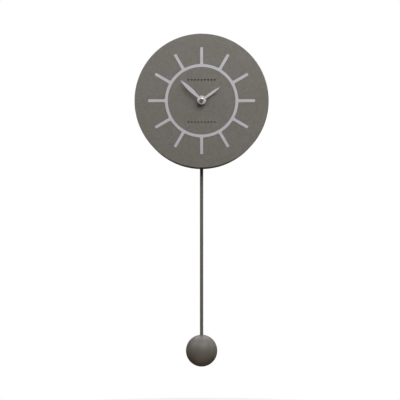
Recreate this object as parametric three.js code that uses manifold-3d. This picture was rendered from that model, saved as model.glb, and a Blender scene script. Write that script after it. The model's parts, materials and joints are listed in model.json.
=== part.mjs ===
// A round pendulum wall clock: a painted drum that hangs on one wall screw, a sunburst dial, a two-hand
// quartz movement with its wheel train, and a ball pendulum that the movement's drive coil keeps swinging.
//
// Millimetres, +Z up. The front faces -Y and the wall is the plane y = 0. The origin is where the wall
// screw bears in the keyhole of the hanger plate. Inside the clock group x = 0, z = 0 is the dial's centre.

import * as THREE from "three";
import { mergeVertices } from "three/addons/utils/BufferGeometryUtils.js";
import Module from "manifold-3d";

const wasm = await Module();
wasm.setup();

// ---------------------------------------------------------------- driving dimensions

// Drum
const DRUM_RADIUS = 120;
const DRUM_DEPTH = 60; // dial face to rear rim
const DRUM_WALL = 16;
const DIAL_THICKNESS = 6;
const EDGE_ROUND = 0.8;
const PAD_THICKNESS = 3;
const PAD_RADIUS = 6;
const SCREW_ABOVE_DIAL = 114.5; // wall screw above the dial's centre
const DRUM_FACETS = 64;

// Sunburst
const SUN_INNER = 60.5;
const SUN_OUTER = 65.5;
const RAY_END = 95.5;
const RAY_WIDTH = 5;
const RAY_COUNT = 12;
const ROOT_FILLET = 2.6; // rounds the corner where a ray leaves the ring
const INLAY_THICKNESS = 0.8;
const INLAY_GAP = 0.3;

// Hands, with the time that they show in degrees clockwise from twelve
const MINUTE_HAND_LENGTH = 51.2;
const HOUR_HAND_LENGTH = 39.5;
const MINUTE_HAND_ANGLE = -46.8;
const HOUR_HAND_ANGLE = 54.5;

// Movement case
const CASE_WIDTH = 58;
const CASE_TOP = 22;
const CASE_BOTTOM = -71;
const CASE_DEPTH = 22;
const CASE_SPLIT = 11; // joint between the two shells, behind the case front
const CASE_WALL = 1.2;
const WASHER_THICKNESS = 0.6;
const BATTERY_Z = -31;
const BATTERY_RADIUS = 7.1;
const BATTERY_BAY = [-39.4, -22.7]; // clear height between the two partitions

// Pendulum
const ROD_DEPTH = 37.5; // plane of the swing in front of the wall
const ROD_RADIUS = 3;
const ROD_BORE = 2.3;
const PIVOT_Z = -47;
const COIL_Z = -62;
const HOOK_Z = -80;
const ROD_TOP = -88.3;
const BALL_RADIUS = 28.6;
const BALL_Z = -451.4;

// Depths that follow from them
const RIM_Y = -PAD_THICKNESS;
const FACE_Y = RIM_Y - DRUM_DEPTH;
const DIAL_BACK_Y = FACE_Y + DIAL_THICKNESS;
const CASE_Y = DIAL_BACK_Y + WASHER_THICKNESS;
const ROD_Y = -ROD_DEPTH;

// Wheel train: arbor places in the case, each a centre distance from the wheel it meshes with
const TRAIN_MODULE = 0.3;
const FAST_MODULE = 0.25;
const MOTION_MODULE = 0.6;
const TEETH = {
  centreWheel: 64,
  thirdPinion: 8,
  thirdWheel: 60,
  fourthPinion: 8,
  fourthWheel: 48,
  stepPinion: 8,
  stepWheel: 40,
  rotorPinion: 8,
  cannonPinion: 10,
  minuteWheel: 30,
  minutePinion: 8,
  hourWheel: 32,
};
const radians = THREE.MathUtils.degToRad;
const BEARING = {
  third: radians(150),
  fourth: radians(-105),
  step: radians(200),
  rotor: radians(-60),
  minute: radians(-40),
};
const CENTRE = new THREE.Vector2(0, 0);

function arborAt(from, bearing, module, teethA, teethB) {
  const distance = (module * (teethA + teethB)) / 2;
  return new THREE.Vector2(
    from.x + distance * Math.cos(bearing),
    from.y + distance * Math.sin(bearing),
  );
}
const THIRD = arborAt(CENTRE, BEARING.third, TRAIN_MODULE, TEETH.centreWheel, TEETH.thirdPinion);
const FOURTH = arborAt(THIRD, BEARING.fourth, TRAIN_MODULE, TEETH.thirdWheel, TEETH.fourthPinion);
const STEP = arborAt(FOURTH, BEARING.step, FAST_MODULE, TEETH.fourthWheel, TEETH.stepPinion);
const ROTOR = arborAt(STEP, BEARING.rotor, FAST_MODULE, TEETH.stepWheel, TEETH.rotorPinion);
const MINUTE = arborAt(CENTRE, BEARING.minute, MOTION_MODULE, TEETH.cannonPinion, TEETH.minuteWheel);

// ---------------------------------------------------------------- materials

function paint(color, roughness, metalness = 0) {
  return new THREE.MeshStandardMaterial({ color, roughness, metalness });
}
const TAUPE = paint(0x716d68, 0.75);
const SILVER_PAINT = paint(0xb0afb6, 0.5, 0.2);
const BRASS = paint(0xb08d4c, 0.3, 1);
const STEEL = paint(0xb9bcc0, 0.35, 1);
const SOFT_IRON = paint(0x8a8d90, 0.45, 1);
const MAGNET = paint(0x55585c, 0.4, 1);
const COPPER = paint(0xa8552b, 0.35, 1);
const BLACK_PLASTIC = paint(0x1b1c1e, 0.55);
const WHITE_PLASTIC = paint(0xe6e4dc, 0.45);
const NATURAL_PLASTIC = paint(0xd8cfb8, 0.5);
const RUBBER = paint(0x161616, 0.9);
const BOARD_GREEN = paint(0x1f5a3a, 0.5);
const BATTERY_SLEEVE = paint(0x2b4a78, 0.4);

// ---------------------------------------------------------------- shape tools

// Closed geometry to a manifold-3d solid, and back
function solidOf(geometry) {
  const bare = geometry.clone();
  bare.deleteAttribute("normal");
  bare.deleteAttribute("uv");
  const merged = mergeVertices(bare, 1e-4);
  return new wasm.Manifold(
    new wasm.Mesh({
      numProp: 3,
      vertProperties: merged.attributes.position.array,
      triVerts: new Uint32Array(merged.index.array),
    }),
  );
}

function geometryOf(solid) {
  const mesh = solid.getMesh();
  const geometry = new THREE.BufferGeometry();
  geometry.setAttribute("position", new THREE.BufferAttribute(mesh.vertProperties, 3));
  geometry.setIndex(new THREE.BufferAttribute(mesh.triVerts, 1));
  return geometry;
}

function joined(...pieces) {
  return geometryOf(pieces.map(solidOf).reduce((all, piece) => all.add(piece)));
}

function cut(body, ...tools) {
  return geometryOf(tools.map(solidOf).reduce((left, tool) => left.subtract(tool), solidOf(body)));
}

// A flat outline drawn as seen from the front (x right, y up), filled from depth yFront back to yBack
function plate(shape, yFront, yBack, arcSteps = 4) {
  const geometry = new THREE.ExtrudeGeometry(shape, {
    depth: yBack - yFront,
    bevelEnabled: false,
    curveSegments: arcSteps,
  });
  return geometry.rotateX(Math.PI / 2).translate(0, yBack, 0);
}

// A turned piece about a front-to-back axis at (x, z): profile pairs are [radius, y], rising in y outside
function turned(profile, facets = 24, x = 0, z = 0) {
  const points = profile.map(([r, y]) => new THREE.Vector2(r, y));
  return new THREE.LatheGeometry(points, facets).translate(x, 0, z);
}

function pin(radius, yFront, yBack, facets = 16, at = CENTRE) {
  const profile = [
    [0, yFront],
    [radius, yFront],
    [radius, yBack],
    [0, yBack],
  ];
  return turned(profile, facets, at.x, at.y);
}

function ring(inner, outer, yFront, yBack, facets = 24, at = CENTRE) {
  const profile = [
    [inner, yFront],
    [outer, yFront],
    [outer, yBack],
    [inner, yBack],
    [inner, yFront],
  ];
  return turned(profile, facets, at.x, at.y);
}

function box(xRange, yRange, zRange) {
  const size = [xRange, yRange, zRange].map(([low, high]) => high - low);
  const middle = [xRange, yRange, zRange].map(([low, high]) => (low + high) / 2);
  return new THREE.BoxGeometry(...size).translate(...middle);
}

// A turned piece about a vertical axis at depth y: profile pairs are [radius, z], rising in z outside
function turnedUpright(profile, facets, y = ROD_Y) {
  const points = profile.map(([r, z]) => new THREE.Vector2(r, z));
  return new THREE.LatheGeometry(points, facets).rotateX(Math.PI / 2).translate(0, y, 0);
}

function roundedRectangle(left, bottom, right, top, corner) {
  const shape = new THREE.Shape();
  shape.absarc(right - corner, bottom + corner, corner, -Math.PI / 2, 0);
  shape.absarc(right - corner, top - corner, corner, 0, Math.PI / 2);
  shape.absarc(left + corner, top - corner, corner, Math.PI / 2, Math.PI);
  shape.absarc(left + corner, bottom + corner, corner, Math.PI, 1.5 * Math.PI);
  return shape;
}

function circleHole(x, y, radius, facets = 16) {
  const corners = Array.from({ length: facets }, (_, side) =>
    new THREE.Vector2(radius, 0).rotateAround(CENTRE, (2 * Math.PI * side) / facets),
  );
  return new THREE.Path(corners.map((corner) => corner.add(new THREE.Vector2(x, y))));
}

function turnedAbout(point, angle) {
  return point.clone().rotateAround(CENTRE, angle);
}

// ---------------------------------------------------------------- gears

const ADDENDUM = { wheel: 0.8, pinion: 0.6 };
const DEDENDUM = 1.2;
const TOOTH_SHARE = { wheel: 0.42, pinion: 0.36 }; // of the pitch, which leaves room to run
const FLANK = { wheel: radians(20), pinion: radians(10) };

function gear(kind, teeth, module, yFront, yBack, at, phase) {
  const pitch = (teeth * module) / 2;
  const tip = pitch + ADDENDUM[kind] * module;
  const root = pitch - DEDENDUM * module;
  const halfTooth = (Math.PI * module * TOOTH_SHARE[kind]) / 2;
  const lean = Math.tan(FLANK[kind]);
  const tipAngle = (halfTooth - ADDENDUM[kind] * module * lean) / tip;
  const rootAngle = (halfTooth + DEDENDUM * module * lean) / root;
  const corners = [
    [root, -rootAngle],
    [tip, -tipAngle],
    [tip, tipAngle],
    [root, rootAngle],
  ];
  const outline = [];
  for (let tooth = 0; tooth < teeth; tooth += 1) {
    const middle = phase + (2 * Math.PI * tooth) / teeth;
    for (const [radius, offset] of corners) {
      outline.push(new THREE.Vector2(radius, 0).rotateAround(CENTRE, middle + offset).add(at));
    }
  }
  return plate(new THREE.Shape(outline), yFront, yBack);
}

// The tooth phase of a gear whose gap meets a tooth of its mate, on the bearing from the mate to it
function meshingPhase(matePhase, mateTeeth, teeth, bearing) {
  return bearing + Math.PI + ((bearing - matePhase) * mateTeeth) / teeth + Math.PI / teeth;
}

// ---------------------------------------------------------------- assembly helpers

const clock = new THREE.Group();
clock.position.z = -SCREW_ABOVE_DIAL;

function add(group, name, geometry, material) {
  const mesh = new THREE.Mesh(geometry, material);
  mesh.name = name;
  group.add(mesh);
  return mesh;
}

function section() {
  const group = new THREE.Group();
  clock.add(group);
  return group;
}

// ---------------------------------------------------------------- drum, dial and wall fixings

const BUSHING_HOLE = 4.3;

// Ring with twelve rays, its outline moved outwards by grow
function sunShape(grow = 0) {
  const outer = SUN_OUTER + grow;
  const end = RAY_END + grow;
  const half = RAY_WIDTH / 2 + grow;
  const rootFillet = ROOT_FILLET - grow;
  const corner = 1.5;
  const filletAlong = Math.sqrt((outer + rootFillet) ** 2 - (half + rootFillet) ** 2);
  const filletAngle = Math.atan2(half + rootFillet, filletAlong);
  const shape = new THREE.Shape();
  for (let ray = 0; ray < RAY_COUNT; ray += 1) {
    const turn = (2 * Math.PI * ray) / RAY_COUNT;
    const arc = (along, across, radius, from, to, clockwise) => {
      const centre = turnedAbout(new THREE.Vector2(along, across), turn);
      shape.absarc(centre.x, centre.y, radius, turn + from, turn + to, clockwise);
    };
    arc(filletAlong, -half - rootFillet, rootFillet, Math.PI - filletAngle, Math.PI / 2, true);
    arc(end - corner, -half + corner, corner, -Math.PI / 2, 0, false);
    arc(end - corner, half - corner, corner, 0, Math.PI / 2, false);
    arc(filletAlong, half + rootFillet, rootFillet, -Math.PI / 2, Math.PI + filletAngle - 2 * Math.PI, true);
    arc(0, 0, outer, filletAngle, (2 * Math.PI) / RAY_COUNT - filletAngle, false);
  }
  shape.holes.push(circleHole(0, 0, SUN_INNER - grow, DRUM_FACETS));
  return shape;
}

function dialBoard() {
  const path = new THREE.Path();
  path.moveTo(BUSHING_HOLE, FACE_Y);
  path.lineTo(DRUM_RADIUS - EDGE_ROUND, FACE_Y);
  path.absarc(DRUM_RADIUS - EDGE_ROUND, FACE_Y + EDGE_ROUND, EDGE_ROUND, -Math.PI / 2, 0);
  path.lineTo(DRUM_RADIUS, DIAL_BACK_Y);
  path.lineTo(BUSHING_HOLE, DIAL_BACK_Y);
  path.lineTo(BUSHING_HOLE, FACE_Y);
  const board = new THREE.LatheGeometry(path.getPoints(1), DRUM_FACETS);
  const recessFloor = FACE_Y + INLAY_THICKNESS + 0.2;
  return cut(board, plate(sunShape(INLAY_GAP), FACE_Y - 1, recessFloor, 2));
}

const HANGER = { halfLength: 18, bottom: 104.5, top: 118.5, thickness: 1.2, screwX: 14, screwZ: 111.5 };
const KEYHOLE = { entryZ: 109.6, entryRadius: 3.9, slotRadius: 1.9 };
const PILOT_RADIUS = 1.2;

function drumRing() {
  const inner = DRUM_RADIUS - DRUM_WALL;
  const wall = ring(inner, DRUM_RADIUS, DIAL_BACK_Y, RIM_Y, DRUM_FACETS);
  const rodSlot = new THREE.ExtrudeGeometry(roundedRectangle(-18, ROD_Y - 7, 18, ROD_Y + 7, 6.9), {
    depth: 2 * DRUM_WALL,
    bevelEnabled: false,
    curveSegments: 4,
  }).translate(0, 0, -inner - 1.5 * DRUM_WALL);
  const headPocket = roundedRectangle(-4.2, KEYHOLE.entryZ - 4.2, 4.2, SCREW_ABOVE_DIAL + 4.2, 4.1);
  const pilots = [-1, 1].map((side) =>
    pin(PILOT_RADIUS, RIM_Y - 12, RIM_Y + 1, 12, new THREE.Vector2(side * HANGER.screwX, HANGER.screwZ)),
  );
  return cut(wall, rodSlot, plate(headPocket, RIM_Y - 8, RIM_Y + 1), ...pilots);
}

function hangerPlate() {
  const { halfLength, bottom, top, thickness, screwX, screwZ } = HANGER;
  const { entryZ, entryRadius, slotRadius } = KEYHOLE;
  const shape = roundedRectangle(-halfLength, bottom, halfLength, top, 2);
  const meet = Math.acos(slotRadius / entryRadius);
  const keyhole = new THREE.Path();
  keyhole.absarc(0, entryZ, entryRadius, meet, Math.PI - meet, true);
  keyhole.absarc(0, SCREW_ABOVE_DIAL, slotRadius, Math.PI, 0, true);
  shape.holes.push(keyhole, circleHole(-screwX, screwZ, 1.6), circleHole(screwX, screwZ, 1.6));
  return plate(shape, RIM_Y, RIM_Y + thickness);
}

function hangerScrew(side) {
  const underHead = RIM_Y + HANGER.thickness;
  const profile = [
    [0, RIM_Y - 10.5],
    [1.1, RIM_Y - 8.5],
    [1.1, underHead + 0.02],
    [2.8, underHead + 0.02],
    [2.2, underHead + 1.1],
    [0, underHead + 1.1],
  ];
  return turned(profile, 12, side * HANGER.screwX, HANGER.screwZ);
}

const drum = section();
add(drum, "dial_board", dialBoard(), TAUPE);
add(drum, "sun_inlay", plate(sunShape(), FACE_Y, FACE_Y + INLAY_THICKNESS, 2), SILVER_PAINT);
add(drum, "drum_ring", drumRing(), TAUPE);
add(drum, "hanger_plate", hangerPlate(), STEEL);
add(drum, "hanger_screw_left", hangerScrew(-1), STEEL);
add(drum, "hanger_screw_right", hangerScrew(1), STEEL);
for (let corner = 0; corner < 4; corner += 1) {
  const onRight = new THREE.Vector2(DRUM_RADIUS - DRUM_WALL / 2, 0);
  const place = turnedAbout(onRight, Math.PI * (0.25 + corner / 2));
  add(drum, `wall_pad_${corner + 1}`, pin(PAD_RADIUS, RIM_Y, 0, 20, place), RUBBER);
}

// ---------------------------------------------------------------- movement case

// Layers inside the case, as distances behind its front
const LAYER = {
  hourWheel: 2.9,
  minuteWheel: 4.7,
  middlePlate: 6.5,
  centreWheel: 8.5,
  thirdWheel: 10.3,
  fourthWheel: 12.1,
  stepWheel: 13.9,
  stator: 16,
  board: 17,
};
const MIDDLE_PLATE_THICKNESS = 1.2;
const WHEEL_THICKNESS = 0.8;
const PINION_PROUD = 0.2; // a pinion stands this far past each side of the wheel that drives it
const PIVOT_RADIUS = 0.5;
const PIVOT_HOLE = 0.75;
const STEM_RADIUS = 1;
const PLATE_POSTS = [
  [-23, 16],
  [23, 16],
  [-23, -17],
  [20, -17],
].map(([x, z]) => new THREE.Vector2(x, z));
const INNER_HALF = CASE_WIDTH / 2 - CASE_WALL;
const PIVOT = new THREE.Vector2(0, PIVOT_Z);
const DRIVE_COIL = new THREE.Vector2(0, COIL_Z);
const LEVER_DEPTH = 17.4;
const LEVER_THICKNESS = 3;
const DRIVE_COIL_DEPTH = [12.4, 16.2];

const deep = (distance) => CASE_Y + distance;

// Walls and partitions of one shell, open on the side that meets the other shell
function shell(front, back, wallFront, wallBack) {
  const outline = (inset, corner) =>
    roundedRectangle(
      -CASE_WIDTH / 2 + inset,
      CASE_BOTTOM + inset,
      CASE_WIDTH / 2 - inset,
      CASE_TOP - inset,
      corner,
    );
  const hollow = plate(outline(CASE_WALL, 1.8), deep(wallFront), deep(wallBack));
  const walls = cut(plate(outline(0, 3), deep(front), deep(back)), hollow);
  const [bayBottom, bayTop] = BATTERY_BAY;
  const depths = [deep(front + 0.1), deep(back - 0.1)];
  const reach = [-INNER_HALF - 0.1, INNER_HALF + 0.1];
  return joined(
    walls,
    box(reach, depths, [bayBottom - 1, bayBottom]),
    box(reach, depths, [bayTop, bayTop + 1]),
  );
}

function caseFront() {
  const posts = PLATE_POSTS.map((at) => pin(2, deep(1), deep(LAYER.middlePlate), 12, at));
  const ribs = [-15, 15].map((x) =>
    box([x - 0.6, x + 0.6], [deep(1), deep(6.2)], [BATTERY_BAY[0] - 0.1, BATTERY_BAY[1] + 0.1]),
  );
  const coilPost = turned(
    [
      [0, deep(1)],
      [5, deep(1)],
      [5, deep(DRIVE_COIL_DEPTH[0])],
      [2.3, deep(DRIVE_COIL_DEPTH[0])],
      [2.3, deep(DRIVE_COIL_DEPTH[1])],
      [0, deep(DRIVE_COIL_DEPTH[1])],
    ],
    20,
    0,
    COIL_Z,
  );
  const body = joined(
    shell(0, CASE_SPLIT, CASE_WALL, CASE_SPLIT + 1),
    ...posts,
    ...ribs,
    coilPost,
    pin(2.5, deep(1), deep(6), 16, PIVOT),
  );
  return cut(
    body,
    pin(BUSHING_HOLE, deep(-1), deep(CASE_WALL + 1)),
    pin(0.9, deep(2), deep(7), 12, PIVOT),
  );
}

function caseRear() {
  const inside = CASE_DEPTH - CASE_WALL;
  const bosses = [CENTRE, THIRD, FOURTH, STEP, ROTOR].map((at) =>
    pin(1.6, deep(inside - 1.8), deep(inside + 0.1), 12, at),
  );
  const body = joined(shell(CASE_SPLIT + 0.2, CASE_DEPTH, CASE_SPLIT - 1, inside), ...bosses);
  const pivots = [THIRD, FOURTH, STEP, ROTOR, CENTRE].map((at) =>
    pin(PIVOT_HOLE, deep(inside - 2.5), deep(inside - 0.3), 8, at),
  );
  const batteryWindow = roundedRectangle(-26.8, BATTERY_BAY[0], 26.8, BATTERY_BAY[1], 1.5);
  const leverWindow = roundedRectangle(-12, CASE_BOTTOM - 6, 12, -51, 5);
  return cut(
    body,
    plate(batteryWindow, deep(inside - 0.5), deep(CASE_DEPTH + 1)),
    plate(leverWindow, deep(15.5), deep(CASE_DEPTH + 1)),
    pin(STEM_RADIUS + 0.4, deep(inside - 1), deep(CASE_DEPTH + 1), 16, MINUTE),
    ...pivots,
  );
}

function middlePlate() {
  const shape = roundedRectangle(-26.5, -20.5, 26.5, 19.5, 3);
  shape.holes.push(circleHole(0, 0, 1.9), circleHole(MINUTE.x, MINUTE.y, STEM_RADIUS + 0.3));
  for (const arbor of [THIRD, FOURTH, STEP, ROTOR]) {
    shape.holes.push(circleHole(arbor.x, arbor.y, PIVOT_HOLE));
  }
  const back = LAYER.middlePlate + MIDDLE_PLATE_THICKNESS;
  const post = (x, z, to) => pin(1, deep(back - 0.1), deep(to), 10, new THREE.Vector2(x, z));
  return joined(
    plate(shape, deep(LAYER.middlePlate), deep(back)),
    post(13.2, -11.1, LAYER.stator),
    post(-8, -11.1, LAYER.stator),
    post(7, 17, LAYER.board),
    post(24, 5, LAYER.board),
  );
}

function centreBushing() {
  const profile = [
    [2.8, FACE_Y - 4.5],
    [3.6, FACE_Y - 4.5],
    [4, FACE_Y - 4.1],
    [4, deep(1.5)],
    [6.5, deep(1.5)],
    [6.5, deep(2.5)],
    [2.8, deep(2.5)],
    [2.8, FACE_Y - 4.5],
  ];
  return turned(profile, 24);
}

const NUT_FRONT = FACE_Y - 3.4;
const NUT_WASHER_FRONT = FACE_Y - 0.6;

function hexNut() {
  const acrossFlats = 12.5;
  const corners = Array.from({ length: 6 }, (_, side) =>
    new THREE.Vector2(acrossFlats / Math.sqrt(3), 0).rotateAround(CENTRE, radians(60 * side + 12)),
  );
  const shape = new THREE.Shape(corners);
  shape.holes.push(circleHole(0, 0, 4.15, 24));
  return plate(shape, NUT_FRONT, NUT_WASHER_FRONT);
}

const movement = section();
add(movement, "case_front", caseFront(), BLACK_PLASTIC);
add(movement, "case_rear", caseRear(), BLACK_PLASTIC);
add(movement, "middle_plate", middlePlate(), NATURAL_PLASTIC);
add(movement, "centre_bushing", centreBushing(), BRASS);
add(movement, "rubber_washer", ring(4.4, 14, DIAL_BACK_Y, CASE_Y), RUBBER);
add(movement, "nut_washer", ring(4.2, 7.5, NUT_WASHER_FRONT, FACE_Y), BRASS);
add(movement, "hex_nut", hexNut(), BRASS);

// ---------------------------------------------------------------- stepping motor, circuit and battery

const CORE_Z = -18.1;
const CORE_X = [-17, 15];
const COIL_X = [-10, 9];
const STEP_COIL_RADIUS = 3.3;
const CORE_DEPTH = [14.9, 15.9];

function stator() {
  const { x, y: z } = ROTOR;
  const top = z + 4.3;
  const arm = [-13, -9.2];
  const foot = CORE_Z - 1.4;
  const outline = [
    [CORE_X[0], foot],
    [-12.5, foot],
    [-12.5, z - 4.4],
    [-11, z - 4.4],
    [-11, arm[0]],
    [11.5, arm[0]],
    [11.5, foot],
    [CORE_X[1], foot],
    [CORE_X[1], arm[1]],
    [-11, arm[1]],
    [-11, top],
    [-20.5, top],
    [-20.5, z - 4.4],
    [CORE_X[0], z - 4.4],
  ];
  const shape = new THREE.Shape(outline.map(([across, up]) => new THREE.Vector2(across, up)));
  shape.holes.push(circleHole(x, z, 3.1));
  return plate(shape, deep(LAYER.stator), deep(LAYER.stator + 1));
}

// A turned piece about a side-to-side axis: profile pairs are [radius, x], in order of rising x outside
function turnedAcross(profile, facets, y, z) {
  const points = profile.map(([r, x]) => new THREE.Vector2(r, x));
  return new THREE.LatheGeometry(points, facets).rotateZ(-Math.PI / 2).translate(0, y, z);
}

const CORE_MIDDLE = deep((CORE_DEPTH[0] + CORE_DEPTH[1]) / 2);

function coilBobbin() {
  const [left, right] = COIL_X;
  const profile = [
    [0, left - 1],
    [STEP_COIL_RADIUS, left - 1],
    [STEP_COIL_RADIUS, left],
    [1.9, left],
    [1.9, right],
    [STEP_COIL_RADIUS, right],
    [STEP_COIL_RADIUS, right + 1],
    [0, right + 1],
  ];
  const bore = box(
    [left - 2, right + 2],
    [CORE_MIDDLE - 0.65, CORE_MIDDLE + 0.65],
    [CORE_Z - 1.35, CORE_Z + 1.35],
  );
  return cut(turnedAcross(profile, 20, CORE_MIDDLE, CORE_Z), bore);
}

function coilWinding() {
  const [left, right] = COIL_X;
  const profile = [
    [2, left + 0.1],
    [3, left + 0.1],
    [3, right - 0.1],
    [2, right - 0.1],
    [2, left + 0.1],
  ];
  return turnedAcross(profile, 20, CORE_MIDDLE, CORE_Z);
}

const BATTERY_MIDDLE = deep(13.4);

function batteryCell() {
  const profile = [
    [0, -24.2],
    [BATTERY_RADIUS - 0.4, -24.2],
    [BATTERY_RADIUS, -23.8],
    [BATTERY_RADIUS, 24.7],
    [BATTERY_RADIUS - 0.4, 25.1],
    [2.75, 25.1],
    [2.75, 26.2],
    [0, 26.2],
  ];
  return turnedAcross(profile, 28, BATTERY_MIDDLE, BATTERY_Z);
}

// Bent strip that presses on the battery's flat end
function negativeContact() {
  const reach = 4.6;
  const outline = [
    [-27.7, -reach],
    [-27.2, -reach],
    [-24.4, 0],
    [-27.2, reach],
    [-27.7, reach],
    [-25, 0],
  ];
  const shape = new THREE.Shape(outline.map(([x, up]) => new THREE.Vector2(x, BATTERY_Z + up)));
  return plate(shape, BATTERY_MIDDLE - 3, BATTERY_MIDDLE + 3);
}

add(movement, "stator", stator(), SOFT_IRON);
add(movement, "coil_core", box(CORE_X, CORE_DEPTH.map(deep), [CORE_Z - 1.2, CORE_Z + 1.2]), SOFT_IRON);
add(movement, "coil_bobbin", coilBobbin(), WHITE_PLASTIC);
add(movement, "coil_winding", coilWinding(), COPPER);
add(movement, "circuit_board", box([4, 26], [deep(17), deep(17.8)], [3, 19]), BOARD_GREEN);
add(
  movement,
  "quartz_crystal",
  turnedAcross([[0, 15], [1, 15], [1, 21], [0, 21]], 12, deep(18.9), 15),
  STEEL,
);
add(
  movement,
  "control_chip",
  turned([[0, deep(17.85)], [3.4, deep(17.85)], [2.6, deep(18.8)], [0, deep(19.1)]], 16, 11, 8.5),
  BLACK_PLASTIC,
);
add(movement, "battery", batteryCell(), BATTERY_SLEEVE);
add(
  movement,
  "positive_contact",
  box([26.3, 26.7], [BATTERY_MIDDLE - 4, BATTERY_MIDDLE + 4], [BATTERY_Z - 5, BATTERY_Z + 5]),
  STEEL,
);
add(movement, "negative_contact", negativeContact(), STEEL);
const driveCoilEnds = DRIVE_COIL_DEPTH.map((d) => deep(d + 0.05));
add(movement, "drive_coil", ring(2.5, 7.4, ...driveCoilEnds, 28, DRIVE_COIL), COPPER);
add(movement, "pivot_pin", pin(0.8, deep(2.2), deep(20.6), 12, PIVOT), STEEL);

// ---------------------------------------------------------------- wheel train

const HOUR_TUBE = { inner: 1.75, outer: 2.5 };
const ARBOR_RADIUS = 1.5;
const HOUR_HAND_FRONT = FACE_Y - 6.2;
const MINUTE_HAND_FRONT = FACE_Y - 9.2;
const ARBOR_TIP = MINUTE_HAND_FRONT - 5.6;
const BLADE_THICKNESS = 0.5;
const HUB_THICKNESS = 0.85;
const ARBOR_BACK = CASE_DEPTH - CASE_WALL - 0.6;

function pinionOn(teeth, module, wheelLayer, at, phase, thickness = WHEEL_THICKNESS) {
  const front = deep(wheelLayer - PINION_PROUD);
  const back = deep(wheelLayer + thickness + PINION_PROUD);
  return gear("pinion", teeth, module, front, back, at, phase);
}

function wheelIn(teeth, module, layer, at, thickness = WHEEL_THICKNESS) {
  return gear("wheel", teeth, module, deep(layer), deep(layer + thickness), at, 0);
}

function trainArbor(at) {
  return pin(PIVOT_RADIUS, deep(LAYER.middlePlate + 0.2), deep(ARBOR_BACK), 10, at);
}

const MOTION_THICKNESS = { hour: 1.2, minute: 1 };

function centreArbor() {
  const back = LAYER.centreWheel + WHEEL_THICKNESS;
  const shaft = turned(
    [
      [0, ARBOR_TIP],
      [1.2, ARBOR_TIP],
      [1.2, MINUTE_HAND_FRONT + BLADE_THICKNESS + 0.1],
      [ARBOR_RADIUS, MINUTE_HAND_FRONT + BLADE_THICKNESS + 0.1],
      [ARBOR_RADIUS, deep(back)],
      [0.8, deep(back)],
      [0.8, deep(18)],
      [PIVOT_RADIUS, deep(18)],
      [PIVOT_RADIUS, deep(ARBOR_BACK)],
      [0, deep(ARBOR_BACK)],
    ],
    20,
  );
  const cannon = pinionOn(
    TEETH.cannonPinion,
    MOTION_MODULE,
    LAYER.minuteWheel,
    CENTRE,
    0,
    MOTION_THICKNESS.minute,
  );
  return joined(shaft, cannon);
}

function centreWheel() {
  const wheel = wheelIn(TEETH.centreWheel, TRAIN_MODULE, LAYER.centreWheel, CENTRE);
  return cut(wheel, pin(ARBOR_RADIUS + 0.1, deep(LAYER.centreWheel - 1), deep(LAYER.centreWheel + 2), 20));
}

function thirdWheel() {
  const phase = meshingPhase(0, TEETH.centreWheel, TEETH.thirdPinion, BEARING.third);
  return joined(
    wheelIn(TEETH.thirdWheel, TRAIN_MODULE, LAYER.thirdWheel, THIRD),
    pinionOn(TEETH.thirdPinion, TRAIN_MODULE, LAYER.centreWheel, THIRD, phase),
    trainArbor(THIRD),
  );
}

function fourthWheel() {
  const phase = meshingPhase(0, TEETH.thirdWheel, TEETH.fourthPinion, BEARING.fourth);
  return joined(
    wheelIn(TEETH.fourthWheel, FAST_MODULE, LAYER.fourthWheel, FOURTH),
    pinionOn(TEETH.fourthPinion, TRAIN_MODULE, LAYER.thirdWheel, FOURTH, phase),
    trainArbor(FOURTH),
  );
}

function stepWheel() {
  const phase = meshingPhase(0, TEETH.fourthWheel, TEETH.stepPinion, BEARING.step);
  return joined(
    wheelIn(TEETH.stepWheel, FAST_MODULE, LAYER.stepWheel, STEP),
    pinionOn(TEETH.stepPinion, FAST_MODULE, LAYER.fourthWheel, STEP, phase),
    trainArbor(STEP),
  );
}

const ROTOR_MAGNET_DEPTH = [15.5, 17.5];

function rotorPinion() {
  const phase = meshingPhase(0, TEETH.stepWheel, TEETH.rotorPinion, BEARING.rotor);
  return joined(
    pinionOn(TEETH.rotorPinion, FAST_MODULE, LAYER.stepWheel, ROTOR, phase),
    trainArbor(ROTOR),
  );
}

function minuteWheel() {
  const phase = meshingPhase(0, TEETH.cannonPinion, TEETH.minuteWheel, BEARING.minute);
  const layer = LAYER.minuteWheel;
  const wheel = gear(
    "wheel",
    TEETH.minuteWheel,
    MOTION_MODULE,
    deep(layer),
    deep(layer + MOTION_THICKNESS.minute),
    MINUTE,
    phase,
  );
  const pinionBack = layer + 0.1;
  const pinion = gear(
    "pinion",
    TEETH.minutePinion,
    MOTION_MODULE,
    deep(LAYER.hourWheel - PINION_PROUD),
    deep(pinionBack),
    MINUTE,
    0,
  );
  return joined(wheel, pinion, pin(STEM_RADIUS, deep(1.7), deep(CASE_DEPTH + 4.2), 14, MINUTE));
}

function hourWheel() {
  const back = BEARING.minute + Math.PI;
  const phase = meshingPhase(0, TEETH.minutePinion, TEETH.hourWheel, back);
  const wheel = gear(
    "wheel",
    TEETH.hourWheel,
    MOTION_MODULE,
    deep(LAYER.hourWheel),
    deep(LAYER.hourWheel + MOTION_THICKNESS.hour),
    CENTRE,
    phase,
  );
  const tube = pin(HOUR_TUBE.outer, HOUR_HAND_FRONT - 0.4, deep(LAYER.hourWheel + 0.5), 20);
  const bore = pin(HOUR_TUBE.inner, HOUR_HAND_FRONT - 1, deep(LAYER.minuteWheel), 20);
  return cut(joined(wheel, tube), bore);
}

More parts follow.
